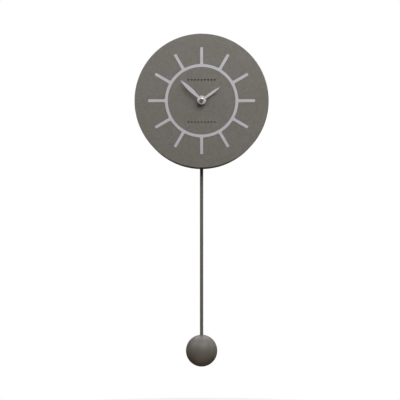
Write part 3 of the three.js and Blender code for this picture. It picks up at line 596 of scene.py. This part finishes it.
def rounded_edge(radius, front, edge, steps):
    """Points of (radius, depth) round a front edge, from its flat face to its side."""
    angles = [math.pi / 2 * k / steps for k in range(steps + 1)]
    return [(radius - edge * (1 - math.sin(a)), front + edge * (1 - math.cos(a))) for a in angles]


def block_profile(inner, outer, front, back, rounding, steps):
    """The rounded square section of a ring, as points of (radius, depth)."""
    return softened([(inner, front), (outer, front), (outer, back), (inner, back)], rounding, steps)


def clockwise(points):
    return points[::-1]


def piece(
    name, bm, material, replaced=(), body=None, sharp=SHARP, shift=None, extra_materials=()
):
    """Turns a bmesh into a named piece that rides on its body and stands for the nodes it replaces."""
    if shift is not None:
        bmesh.ops.transform(bm, matrix=shift, verts=bm.verts)
    bmesh.ops.remove_doubles(bm, verts=bm.verts, dist=1e-7)
    bmesh.ops.recalc_face_normals(bm, faces=bm.faces)
    mesh = bpy.data.meshes.new(name)
    bm.to_mesh(mesh)
    bm.free()
    mesh.shade_smooth()
    mesh.set_sharp_from_angle(angle=math.radians(sharp))
    for each in (material, *extra_materials):
        mesh.materials.append(each)
    made = bpy.data.objects.new(name, mesh)
    bpy.context.scene.collection.objects.link(made)
    made.modifiers.new("even_shading", "WEIGHTED_NORMAL").keep_sharp = True
    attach(made, body or BODY_OF[replaced[0]])
    if replaced:
        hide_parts(*replaced)
    return made


def to_centre(at=DIAL_CENTRE):
    """Puts a piece made about the front-to-back axis on the axis through a point, and leaves its depth."""
    return Matrix.Translation((at.x, 0, at.z))


# Turns a piece made about the front-to-back axis so that its depth runs up, or to the right
UPRIGHT = Matrix.Rotation(math.radians(90), 4, "X")
ACROSS = Matrix.Rotation(math.radians(-90), 4, "Z")


def carve(target, *cutters):
    """Cuts other objects out of a piece and removes them."""
    for tool in cutters:
        modifier = target.modifiers.new("cut", "BOOLEAN")
        modifier.operation = "DIFFERENCE"
        modifier.solver = "EXACT"
        modifier.object = tool
        target.modifiers.move(len(target.modifiers) - 1, 0)
        evaluated = target.evaluated_get(bpy.context.evaluated_depsgraph_get())
        cut_mesh = bpy.data.meshes.new_from_object(evaluated)
        target.modifiers.remove(modifier)
        target.data = cut_mesh
        bpy.data.objects.remove(tool)
    target.data.set_sharp_from_angle(angle=math.radians(SHARP))


def cutter(bm, shift=None):
    """Turns a bmesh into an object to cut with."""
    if shift is not None:
        bmesh.ops.transform(bm, matrix=shift, verts=bm.verts)
    bmesh.ops.recalc_face_normals(bm, faces=bm.faces)
    mesh = bpy.data.meshes.new("cutter")
    bm.to_mesh(mesh)
    bm.free()
    made = bpy.data.objects.new("cutter", mesh)
    bpy.context.scene.collection.objects.link(made)
    return made


def depths(node):
    """A node's front and back, in millimetres."""
    low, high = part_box(node)
    return low.y / MM, high.y / MM


# ---------------------------------------------------------------- dial, sunburst and drum

FINE = 192  # steps round the largest circles
HOURS = 12
RING_INNER = 60.5
RING_OUTER = 65.5
RAY_HALF = 2.5
RAY_FILLET = 2.6
RAY_CORNER = 1.3
BUSHING_HOLE = 4.3
RAY_END = half_size("sun_inlay").x / MM
DIAL_RADIUS = half_size("dial_board").x / MM
DRUM_WALL = 16


def sun_outline(grow=0.0):
    """Outer outline of the ring with a ray at each hour, anticlockwise, moved outwards by grow."""
    outer = RING_OUTER + grow
    end = RAY_END + grow
    half = RAY_HALF + grow
    fillet = RAY_FILLET - grow
    hour_step = 360 / HOURS
    along = math.sqrt((outer + fillet) ** 2 - (half + fillet) ** 2)
    meets = math.degrees(math.atan2(half + fillet, along))
    ray = arc(along, -half - fillet, fillet, 180 - meets, 90, 5)
    ray += arc(end - RAY_CORNER, -half + RAY_CORNER, RAY_CORNER, -90, 0, 4)
    ray += arc(end - RAY_CORNER, half - RAY_CORNER, RAY_CORNER, 0, 90, 4)
    ray += arc(along, half + fillet, fillet, -90, -180 + meets, 5)
    ray += arc(0, 0, outer, meets, hour_step - meets, 8)[1:-1]
    points = []
    for hour in range(HOURS):
        turned = Matrix.Rotation(math.radians(hour_step * hour), 2)
        points += [tuple(turned @ Vector(p)) for p in ray]
    return points


def dial_board():
    """Round board with a rounded rim, a hole for the bushing and a recess that the sunburst lies in."""
    front, back = depths("dial_board")
    recess_back = depths("sun_inlay")[1] + 0.1
    edge = 0.8
    gap = 0.12
    bm = bmesh.new()
    rim_profile = [*rounded_edge(DIAL_RADIUS, front, edge, 5), (DIAL_RADIUS, back)]
    rim = [ring_of(bm, circle(0, 0, radius, FINE), depth) for radius, depth in rim_profile]
    hole = [ring_of(bm, circle(0, 0, BUSHING_HOLE, 48), depth) for depth in (front, back)]
    recess_outer = [ring_of(bm, sun_outline(gap), depth) for depth in (front, recess_back)]
    inner_edge = circle(0, 0, RING_INNER - gap, FINE)
    recess_inner = [ring_of(bm, inner_edge, depth) for depth in (front, recess_back)]
    for first, second in [*zip(rim, rim[1:]), hole, recess_outer, recess_inner]:
        join_rings(bm, first, second)
    cap(bm, [rim[0], recess_outer[0]])
    cap(bm, [recess_inner[0], hole[0]])
    cap(bm, [recess_outer[1], recess_inner[1]])
    cap(bm, [rim[-1], hole[1]])
    for face in bm.faces:
        if face.calc_center_median().y > (back - 0.01) * MM:
            face.material_index = 1
    piece("dial", bm, LACQUER, ["dial_board"], shift=to_centre(), extra_materials=[BARE_BOARD])


def sunburst():
    """Thin inlay: a ring with a ray at each hour."""
    front, back = depths("sun_inlay")
    bm = bmesh.new()
    slab(bm, sun_outline(), [clockwise(circle(0, 0, RING_INNER, FINE))], front, back, edge=0.12)
    piece("sunburst", bm, INLAY_SILVER, ["sun_inlay"], shift=to_centre())


def lozenge(x, z, half_wide, half_high):
    return [(x + half_wide, z), (x, z + half_high), (x - half_wide, z), (x, z - half_high)]


def dial_marks():
    """Two small printed ornaments, each a row of lozenges with dots between them."""
    front = depths("dial_board")[0]
    pitch = 5.9
    each_side = 4
    upper_row = (37.3, 1.0)
    lower_row = (-38.2, 0.85)
    bm = bmesh.new()

    def stamp(outline):
        slab(bm, outline, [], front - 0.05, front, edge=TINY, steps=1)

    for z, size in (upper_row, lower_row):
        for k in range(-each_side, each_side + 1):
            stamp(lozenge(pitch * k, z, 2.2 * size, 2.5 * size))
            if k < each_side:
                stamp(circle(pitch * (k + 0.5), z, 0.75 * size, 16))
    piece("dial_ornament", bm, PRINT, body="clock_body", shift=to_centre())


# The keyhole, measured up from the dial's centre: a wide entry for the screw's head below a narrow seat
SEAT_Z = (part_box("hanger_plate")[1].z - DIAL_CENTRE.z) / MM - 4
ENTRY_Z = SEAT_Z - 4.9
SEAT_RADIUS = 1.9
ENTRY_RADIUS = 3.9


def rod_slot():
    """A level slot through the wall, long enough for the rod's swing, as a solid to cut out."""
    swing = 11.1
    clearance = 6.9
    outline = arc(swing, 0, clearance, -90, 90, 12) + arc(-swing, 0, clearance, 90, 270, 12)
    bm = bmesh.new()
    slab(bm, outline, [], -DIAL_RADIUS - 40, -DIAL_RADIUS + 30, edge=TINY, steps=1)
    return cutter(bm, Matrix.Translation((0, middle("pendulum_rod").y, 0)) @ UPRIGHT)


def screw_pocket(wall_back):
    """The pocket that the wall screw's head enters through the keyhole, as a solid to cut out."""
    radius = ENTRY_RADIUS + 0.3
    outline = arc(0, SEAT_Z, radius, 0, 180, 12) + arc(0, ENTRY_Z, radius, 180, 360, 12)
    bm = bmesh.new()
    slab(bm, outline, [], wall_back - 8, wall_back + 5, edge=TINY, steps=1)
    return cutter(bm)


def drum_ring():
    """The drum's wall, lacquered outside in a dark brown that is mostly painted shade, bare inside, with
    the rod's slot and the screw's pocket.
    """
    front, back = depths("drum_ring")
    inner = DIAL_RADIUS - DRUM_WALL
    bm = bmesh.new()
    turn(bm, block_profile(inner, DIAL_RADIUS, front, back, 0.9, 4), steps=FINE, closed=True)
    for face in bm.faces:
        centre = face.calc_center_median()
        if math.hypot(centre.x, centre.z) < (inner + 0.2) * MM:
            face.material_index = 1
    drum = piece("drum", bm, DRUM_LACQUER_PAINTED_SHADE, ["drum_ring"], extra_materials=[BARE_BOARD])
    carve(drum, rod_slot(), screw_pocket(back))
    drum.data.transform(to_centre())


def hanger():
    """Steel plate with a keyhole and two screw holes."""
    front, back = depths("hanger_plate")
    half = half_size("hanger_plate") / MM
    z = (middle("hanger_plate").z - DIAL_CENTRE.z) / MM
    corners = [(-half.x, z - half.z), (half.x, z - half.z), (half.x, z + half.z), (-half.x, z + half.z)]
    meets = math.degrees(math.acos(SEAT_RADIUS / ENTRY_RADIUS))
    keyhole = arc(0, ENTRY_Z, ENTRY_RADIUS, 180 - meets, 360 + meets, 24)
    keyhole += arc(0, SEAT_Z, SEAT_RADIUS, 0, 180, 12)
    holes = [clockwise(keyhole)]
    for node in ("hanger_screw_left", "hanger_screw_right"):
        at = (middle(node) - DIAL_CENTRE) / MM
        holes.append(clockwise(circle(at.x, at.z, 1.6, 24)))
    bm = bmesh.new()
    slab(bm, softened(corners, 2, 4), holes, front, back, edge=0.2, steps=3)
    piece("hanger", bm, STEEL, ["hanger_plate"], shift=to_centre())


def cross_recess(bm, depth, reach):
    """A cross-shaped pit for a screwdriver, as a solid to cut out."""
    arm = 0.42 * reach
    outline = []
    for quarter in range(4):
        turned = Matrix.Rotation(math.radians(90 * quarter), 2)
        outline += [tuple(turned @ Vector(p)) for p in ((arm, arm), (arm, reach), (-arm, reach))]
    slab(bm, clockwise(outline), [], *depth, edge=TINY, steps=1)


def thread(start, pitch, turns, core, crest):
    """The ridges of a screw as points of (radius, depth): three points for each turn."""
    ridges = []
    for k in range(turns):
        at = start + pitch * k
        ridges += [(core, at), (crest, at + 0.35 * pitch), (core, at + 0.7 * pitch)]
    return ridges


def hanger_screw(node):
    """Pan-head wood screw whose point is at the front."""
    front, back = depths(node)
    crest = 1.1
    pitch = 0.9
    head = back - 1.1
    turns = int((head - front - 3.4) / pitch)
    profile = [(0, front), (0.3, front + 0.3), (1.0, front + 2.2)]
    profile += thread(front + 2.3, pitch, turns, 0.85, crest)
    profile += [(crest, head - 0.02), (2.7, head)]
    profile += [(2.8, back - 0.85), (2.5, back - 0.35), (1.5, back - 0.05), (0, back)]
    bm = bmesh.new()
    turn(bm, profile, steps=40)
    screw = piece(f"{node}_turned", bm, STEEL, [node], sharp=35)
    pit = bmesh.new()
    cross_recess(pit, (back - 0.8, back + 1), 1.45)
    carve(screw, cutter(pit))
    screw.data.transform(to_centre(middle(node)))


def wall_pad(node):
    """Rubber button that tapers a little towards the wall."""
    front, back = depths(node)
    radius = half_size(node).x / MM
    taper = 0.25
    bm = bmesh.new()
    corners = [(0, front), (radius, front), (radius - taper, back), (0, back)]
    turn(bm, softened(corners, 0.5, 4, closed=False), steps=64)
    piece(f"{node}_moulded", bm, RUBBER, [node], shift=to_centre(middle(node)))


dial_board()
sunburst()
dial_marks()
drum_ring()
hanger()
for side in ("left", "right"):
    hanger_screw(f"hanger_screw_{side}")
for number in range(1, 5):
    wall_pad(f"wall_pad_{number}")

# ---------------------------------------------------------------- hands and their nut


def curve_to(points, control, end):
    """Appends a quadratic curve from the last point."""
    steps = 10
    start = Vector(points[-1])
    for k in range(1, steps + 1):
        t = k / steps
        points.append(tuple(start.lerp(Vector(control), t).lerp(Vector(control).lerp(Vector(end), t), t)))


def leaf(length, waist, belly, belly_at, root):
    """A blade that points up, drawn anticlockwise from its foot: narrow, widest part-way, then a point."""
    point_half = 0.12
    right = [(waist / 2, root)]
    curve_to(right, (0.465 * belly, root + 0.4 * (belly_at - root)), (belly / 2, belly_at))
    curve_to(right, (0.475 * belly, belly_at + 0.6 * (length - belly_at)), (point_half, length))
    left = [(-x, z) for x, z in clockwise(right)]
    return [*right, *left]


def hand(node, length, waist, belly, belly_at, hub, bore, collar, angle):
    """A stamped hand: blade with soft edges, hub with a crowned rim, and a collar behind it."""
    front, back = depths(node)
    bm = bmesh.new()
    slab(bm, leaf(length, waist, belly, belly_at, hub - 0.6), [], front, front + 0.5, edge=0.16, steps=3)
    dish = front + 0.3
    hub_back = front + 0.85
    rim_half = 1.1
    rim_height = 0.42
    crown = [math.radians(-50 + 140 * k / 10) for k in range(11)]
    profile = [(bore, dish), (hub - 2.6, dish), (hub - 2.1, front + 0.18)]
    profile += [
        (hub - rim_half * (1 - math.sin(a)), front + rim_height * (1 - math.cos(a))) for a in crown
    ]
    profile += [(hub - 0.05, hub_back - 0.15), (hub - 0.3, hub_back), (collar, hub_back)]
    profile += [(collar - 0.1, back), (bore, back)]
    turn(bm, profile, steps=72, closed=True)
    pointing = to_centre() @ Matrix.Rotation(math.radians(angle), 4, "Y")
    piece(f"{node}_stamped", bm, HAND_SILVER, [node], shift=pointing, sharp=50)


def toothed(radius, teeth, tooth):
    """Outline with equal teeth. A tooth's points are shares of its pitch and depths below the radius."""
    outline = []
    for k in range(teeth):
        for share, depth in tooth:
            angle = TURN * (k + share) / teeth
            outline.append(((radius - depth) * math.cos(angle), (radius - depth) * math.sin(angle)))
    return outline


def hand_nut():
    """A round brass cap with a flat front, a rounded edge and a fine knurl round its foot."""
    front, back = depths("hand_nut")
    radius = half_size("hand_nut").x / MM
    body = radius - 0.12
    bore = 1.3
    knurl_front = back - 1.1
    bm = bmesh.new()
    profile = [(0, front), *rounded_edge(body, front, 1.5, 8)]
    profile += [(body, knurl_front + 0.1), (bore, knurl_front + 0.1)]
    profile += [(bore, knurl_front - 0.5), (0, knurl_front - 0.5)]
    turn(bm, profile, steps=64)
    knurl = toothed(radius, 32, ((0.0, 0.14), (0.3, 0.0), (0.6, 0.0), (0.9, 0.14)))
    slab(bm, knurl, [clockwise(circle(0, 0, bore, 32))], knurl_front, back, edge=0.08)
    piece("hand_nut_turned", bm, NUT_BRASS_PAINTED_REFLECTION, ["hand_nut"], shift=to_centre(), sharp=50)


def hex_nut():
    """Six-sided brass nut with rounded edges, turned a little as a tightened nut is."""
    front, back = depths("hex_nut")
    across_flats = 12.5
    tightened = 12
    corner = across_flats / math.sqrt(3)
    corners = arc(0, 0, corner, tightened, tightened + 360, 6)[:-1]
    bm = bmesh.new()
    bore = clockwise(circle(0, 0, 4.12, 48))
    slab(bm, softened(corners, 0.3, 2), [bore], front, back, edge=0.35, steps=3)
    piece("hex_nut_chamfered", bm, BRASS, ["hex_nut"], shift=to_centre())


def washer(name, node, inner, outer, material):
    """Flat ring with rounded edges."""
    bm = bmesh.new()
    turn(bm, block_profile(inner, outer, *depths(node), 0.15, 3), steps=72, closed=True)
    piece(name, bm, material, [node], shift=to_centre())


def centre_bushing():
    """Threaded brass tube with a flange that bears on the inside of the case."""
    front, back = depths("centre_bushing")
    bore = 2.8
    core = 3.72
    crest = 4.0
    flange = back - 1
    flange_radius = 6.5
    pitch = 0.5
    profile = [(bore, front), (3.55, front), (3.7, front + 0.15)]
    for k in range(int((flange - 1.2 - front) / pitch)):
        start = front + 0.3 + pitch * k
        profile += [(core, start), (crest, start + 0.2), (crest, start + 0.27), (core, start + 0.45)]
    profile += [(crest - 0.05, flange - 0.3), (crest - 0.05, flange)]
    profile += [(flange_radius - 0.1, flange), (flange_radius, flange + 0.15)]
    profile += [(flange_radius, back - 0.15), (flange_radius - 0.1, back), (bore, back)]
    bm = bmesh.new()
    turn(bm, profile, steps=56, closed=True)
    piece("centre_bushing_threaded", bm, BRASS, ["centre_bushing"], shift=to_centre(), sharp=35)


hand(
    "hour_hand",
    length=39.5,
    waist=3.0,
    belly=4.7,
    belly_at=22,
    hub=5.4,
    bore=2.6,
    collar=3.6,
    angle=54.5,
)
hand(
    "minute_hand",
    length=51.2,
    waist=3.3,
    belly=6.8,
    belly_at=27,
    hub=7.9,
    bore=1.55,
    collar=3.0,
    angle=-46.8,
)
hand_nut()
hex_nut()
washer("nut_washer_stamped", "nut_washer", 4.2, 7.5, BRASS)
washer("rubber_washer_cut", "rubber_washer", 4.4, 14, RUBBER)
centre_bushing()

# ---------------------------------------------------------------- pendulum


def upright_at(centre):
    """Stands a piece made about the front-to-back axis on end at centre, its depth running up."""
    return Matrix.Translation(centre) @ UPRIGHT


def ball():
    """Turned ball with a bore for the rod's stud and a lip that closes on the rod."""
    radius = half_size("ball").x / MM
    centre = middle("ball")
    centre.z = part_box("ball")[0].z + radius * MM
    mouth = 3.3
    lip = 2.98
    bore_bottom = (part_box("ball_insert")[0].z - centre.z) / MM - 0.5
    top = math.degrees(math.acos(lip / radius))
    profile = arc(0, 0, radius, -90, top, 72)
    profile[0] = (0, -radius)
    lip_height = profile[-1][1]
    profile += [(lip, lip_height - 0.4), (mouth, lip_height - 0.9), (mouth, bore_bottom), (0, bore_bottom)]
    bm = bmesh.new()
    turn(bm, profile, steps=128)
    piece("pendulum_ball", bm, BALL_LACQUER_PAINTED_SHADE, ["ball"], shift=upright_at(centre))


def rod():
    """Lacquered tube."""
    half = half_size("pendulum_rod") / MM
    bm = bmesh.new()
    turn(bm, block_profile(2.3, half.x, -half.z, half.z, 0.2, 3), steps=64, closed=True)
    shift = upright_at(middle("pendulum_rod"))
    piece("pendulum_rod_tube", bm, ROD_LACQUER_PAINTED_SHADE, ["pendulum_rod"], shift=shift)


ball()
rod()

# ---------------------------------------------------------------- movement


def battery():
    """Size AA cell on its side: a steel can with a crimped sleeve and a button at the positive end."""
    half = half_size("battery") / MM
    foot = -half.x
    tip = half.x
    radius = half.z
    pole = 5.0
    button = 2.75
    profile = [(0, foot + 0.25), (pole - 0.4, foot + 0.25), (pole, foot)]
    can_foot = [(pole, foot), (radius - 0.25, foot), (radius - 0.25, foot + 0.9)]
    profile += softened(can_foot, 0.3, closed=False)
    sleeve = [(radius, foot + 1.0), (radius, tip - 1.6), (radius - 0.9, tip - 1.2)]
    profile += softened(sleeve, 0.35, closed=False)
    profile += [(4.4, tip - 1.1), (4.0, tip - 1.35), (button, tip - 1.3)]
    profile += softened([(button, tip - 1.3), (button, tip), (0, tip)], 0.35, closed=False)
    bm = bmesh.new()
    turn(bm, profile, steps=72)
    shift = Matrix.Translation(middle("battery")) @ ACROSS
    piece("battery_cell", bm, BATTERY, ["battery"], shift=shift)


def knob():
    """Setting knob: a gripped rim round a disc, with a hole for the minute wheel's stem."""
    front, back = depths("setting_knob")
    radius = half_size("setting_knob").x / MM
    rim_inner = 4.2
    stem = 1.05
    grip = ((0.0, 0.55), (0.2, 0.1), (0.35, 0.0), (0.65, 0.0), (0.8, 0.1))
    bm = bmesh.new()
    rim_hole = clockwise(circle(0, 0, rim_inner, 48))
    slab(bm, toothed(radius, 24, grip), [rim_hole], front, back, edge=0.3, steps=3)
    disc_front = front + 0.3
    disc_back = back - 1.1
    disc_outer = rim_inner + 0.1
    disc = [(stem, disc_front), (disc_outer, disc_front), (disc_outer, disc_back), (stem, disc_back)]
    turn(bm, disc, steps=48, closed=True)
    shift = to_centre(middle("setting_knob"))
    piece("setting_knob_gripped", bm, BLACK_PLASTIC, ["setting_knob"], shift=shift)


def wound_coil(node, profile, turned, material):
    """A winding whose outside follows its layers of wire."""
    bm = bmesh.new()
    turn(bm, profile, steps=64, closed=True)
    piece(f"{node}_wound", bm, material, [node], shift=Matrix.Translation(middle(node)) @ turned)


def windings():
    """The step motor's winding, lightly wavy along its bobbin, and the flat coil that drives the lever."""
    half = half_size("coil_winding") / MM
    waves_along = 5
    steps = 8 * waves_along
    wave = 0.12
    crown = [
        (half.z - wave * (1 - math.cos(TURN * k / 8)), -half.x + 2 * half.x * k / steps)
        for k in range(steps + 1)
    ]
    wound_coil("coil_winding", [(2.0, -half.x), *crown, (2.0, half.x)], ACROSS, STEP_COIL)
    half = half_size("drive_coil") / MM
    profile = block_profile(2.5, half.z, -half.y, half.y, 0.5, 4)
    wound_coil("drive_coil", profile, Matrix.Identity(4), DRIVE_COIL)


battery()
knob()
windings()

# ---------------------------------------------------------------- CAD nodes that keep their shape

# Each with its finish and the width of its softened edges
KEPT = {
    "case_front": (BLACK_PLASTIC, 0.25),
    "case_rear": (BLACK_PLASTIC, 0.25),
    "middle_plate": (NATURAL_PLASTIC, 0.12),
    "stator": (SOFT_IRON, 0.08),
    "coil_core": (SOFT_IRON, 0.08),
    "coil_bobbin": (WHITE_PLASTIC, 0.08),
    "circuit_board": (BOARD, 0.06),
    "quartz_crystal": (STEEL, 0.12),
    "control_chip": (BLACK_PLASTIC, 0.1),
    "positive_contact": (STEEL, 0.06),
    "negative_contact": (STEEL, 0.06),
    "pivot_pin": (STEEL, 0.1),
    "centre_arbor": (STEEL, 0.05),
    "centre_wheel": (WHITE_PLASTIC, 0.04),
    "third_wheel": (WHITE_PLASTIC, 0.04),
    "fourth_wheel": (WHITE_PLASTIC, 0.04),
    "step_wheel": (WHITE_PLASTIC, 0.04),
    "rotor_pinion": (WHITE_PLASTIC, 0.03),
    "rotor_magnet": (FERRITE, 0.1),
    "minute_wheel": (WHITE_PLASTIC, 0.06),
    "hour_wheel": (BLACK_PLASTIC, 0.06),
    "pendulum_lever": (WHITE_PLASTIC, 0.15),
    "drive_magnet": (FERRITE, 0.2),
    "rod_eye": (STEEL, 0.1),
    "rod_stud": (STEEL, 0.1),
    "ball_insert": (INSERT_BRASS, 0.1),
}


def keep(node, material, edge):
    """Gives a CAD node its finish, soft edges and even shading, and leaves its mesh alone."""
    kept = frame["nodes"][node]
    kept.data.materials.clear()
    kept.data.materials.append(material)
    kept.data.shade_smooth()
    kept.modifiers.new("weld", "WELD").merge_threshold = 2e-6
    flatten = kept.modifiers.new("flatten", "DECIMATE")
    flatten.decimate_type = "DISSOLVE"
    flatten.angle_limit = math.radians(0.5)
    bevel = kept.modifiers.new("soft_edges", "BEVEL")
    bevel.width = edge * MM
    bevel.segments = 2
    bevel.angle_limit = math.radians(50)
    bevel.harden_normals = False
    kept.modifiers.new("even_shading", "WEIGHTED_NORMAL").keep_sharp = True


for node_name, (finish, edge_width) in KEPT.items():
    keep(node_name, finish, edge_width)

# ---------------------------------------------------------------- studio

# Metres
CAMERA_DISTANCE = 1.4  # in front of the dial's face
CAMERA_BELOW_DIAL = 0.1775
CAMERA_LEFT = 0.0029
LENS = 70.52  # millimetres, on a sensor 36 wide
FLOOR_BELOW_BALL = 1.6
FLOOR_RADIUS = 6
LIGHT_TARGET = Vector((0, 0, -0.25))


def camera():
    """Level camera a little below the dial, as if the clock hung just above eye height."""
    data = bpy.data.cameras.new("camera")
    data.sensor_width = 36
    data.lens = LENS
    made = bpy.data.objects.new("camera", data)
    made.location = (
        -CAMERA_LEFT,
        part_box("dial_board")[0].y - CAMERA_DISTANCE,
        DIAL_CENTRE.z - CAMERA_BELOW_DIAL,
    )
    made.rotation_euler = (math.radians(90), 0, 0)
    bpy.context.scene.collection.objects.link(made)
    bpy.context.scene.camera = made


def softbox(name, azimuth, elevation, distance, size, watts, tint, target=LIGHT_TARGET):
    """A square light aimed at the target. Azimuth runs right from the front, elevation up from level."""
    swing = Matrix.Rotation(math.radians(azimuth), 3, "Z")
    tilt = Matrix.Rotation(math.radians(-elevation), 3, "X")
    outward = swing @ tilt @ Vector((0, -1, 0))
    data = bpy.data.lights.new(name, "AREA")
    data.shape = "SQUARE"
    data.size = size
    data.energy = watts
    data.color = tint
    made = bpy.data.objects.new(name, data)
    made.visible_camera = False
    made.location = target + outward * distance
    made.rotation_euler = (-outward).to_track_quat("-Z", "Y").to_euler()
    bpy.context.scene.collection.objects.link(made)


def floor_paper():
    """Evenly pale to the camera. Its bounce onto the clock is that of dark paper."""
    material, tree, shader = start_material("pale_floor", 0.8, specular=0.2)
    drift = spread(tree, noise(tree, 300))
    feed(tree, shader, colour=mix_colour(tree, drift, (0.12, 0.10, 0.08), (0.14, 0.12, 0.10)))
    glow = add_node(tree, "ShaderNodeEmission")
    tree.links.new(mix_colour(tree, drift, (0.86, 0.86, 0.855), (0.9, 0.9, 0.895)), glow.inputs["Color"])
    path = add_node(tree, "ShaderNodeLightPath")
    either = add_node(tree, "ShaderNodeMixShader")
    tree.links.new(path.outputs["Is Camera Ray"], either.inputs["Fac"])
    tree.links.new(shader.outputs["BSDF"], either.inputs[1])
    tree.links.new(glow.outputs["Emission"], either.inputs[2])
    tree.links.new(either.outputs["Shader"], tree.nodes["Material Output"].inputs["Surface"])
    return material


def floor():
    """A round floor far below the clock."""
    thickness = 20
    bm = bmesh.new()
    slab(bm, circle(0, 0, FLOOR_RADIUS / MM, 128), [], 0, thickness, edge=5)
    bmesh.ops.transform(bm, matrix=UPRIGHT, verts=bm.verts)
    mesh = bpy.data.meshes.new("floor")
    bm.to_mesh(mesh)
    bm.free()
    mesh.materials.append(floor_paper())
    made = bpy.data.objects.new("floor", mesh)
    made.location = (0, 0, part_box("ball")[0].z - FLOOR_BELOW_BALL)
    bpy.context.scene.collection.objects.link(made)


def world():
    """White backdrop for the camera. To the clock it is a dim dome over a warm, brighter horizon."""
    made = bpy.data.worlds.new("studio")
    made.use_nodes = True
    tree = made.node_tree
    background = tree.nodes["Background"]
    coordinate = add_node(tree, "ShaderNodeTexCoord")
    split = add_node(tree, "ShaderNodeSeparateXYZ")
    tree.links.new(coordinate.outputs["Generated"], split.inputs["Vector"])
    horizon = remap(tree, split.outputs["Z"], -0.3, 0.0)
    dome = mix_colour(tree, horizon, (0.36, 0.26, 0.17), (0.04, 0.04, 0.04))
    path = add_node(tree, "ShaderNodeLightPath")
    seen = mix_colour(tree, path.outputs["Is Camera Ray"], dome, (1.0, 1.0, 1.0))
    tree.links.new(seen, background.inputs["Color"])
    bpy.context.scene.world = made


camera()
floor()
world()
softbox("key", 18, 46, distance=1.75, size=1.6, watts=31.8, tint=(0.94, 0.98, 1.0))
softbox("behind", 0, 122, distance=1.4, size=1.8, watts=28.0, tint=(0.96, 0.97, 1.0))
softbox("left_high", -75, 35, distance=1.6, size=1.0, watts=9.0, tint=(1.0, 0.95, 0.85))
softbox("right_high", 75, 30, distance=1.6, size=1.0, watts=4.5, tint=(1.0, 0.85, 0.65))
softbox("right_rim", 115, 15, distance=1.6, size=1.0, watts=5.2, tint=(0.97, 0.95, 1.0))
softbox(
    "bounce", 0, -45, distance=0.28, size=0.3, watts=0.17, tint=(1.0, 0.82, 0.68), target=middle("ball")
)
bpy.context.scene.view_settings.view_transform = "Standard"
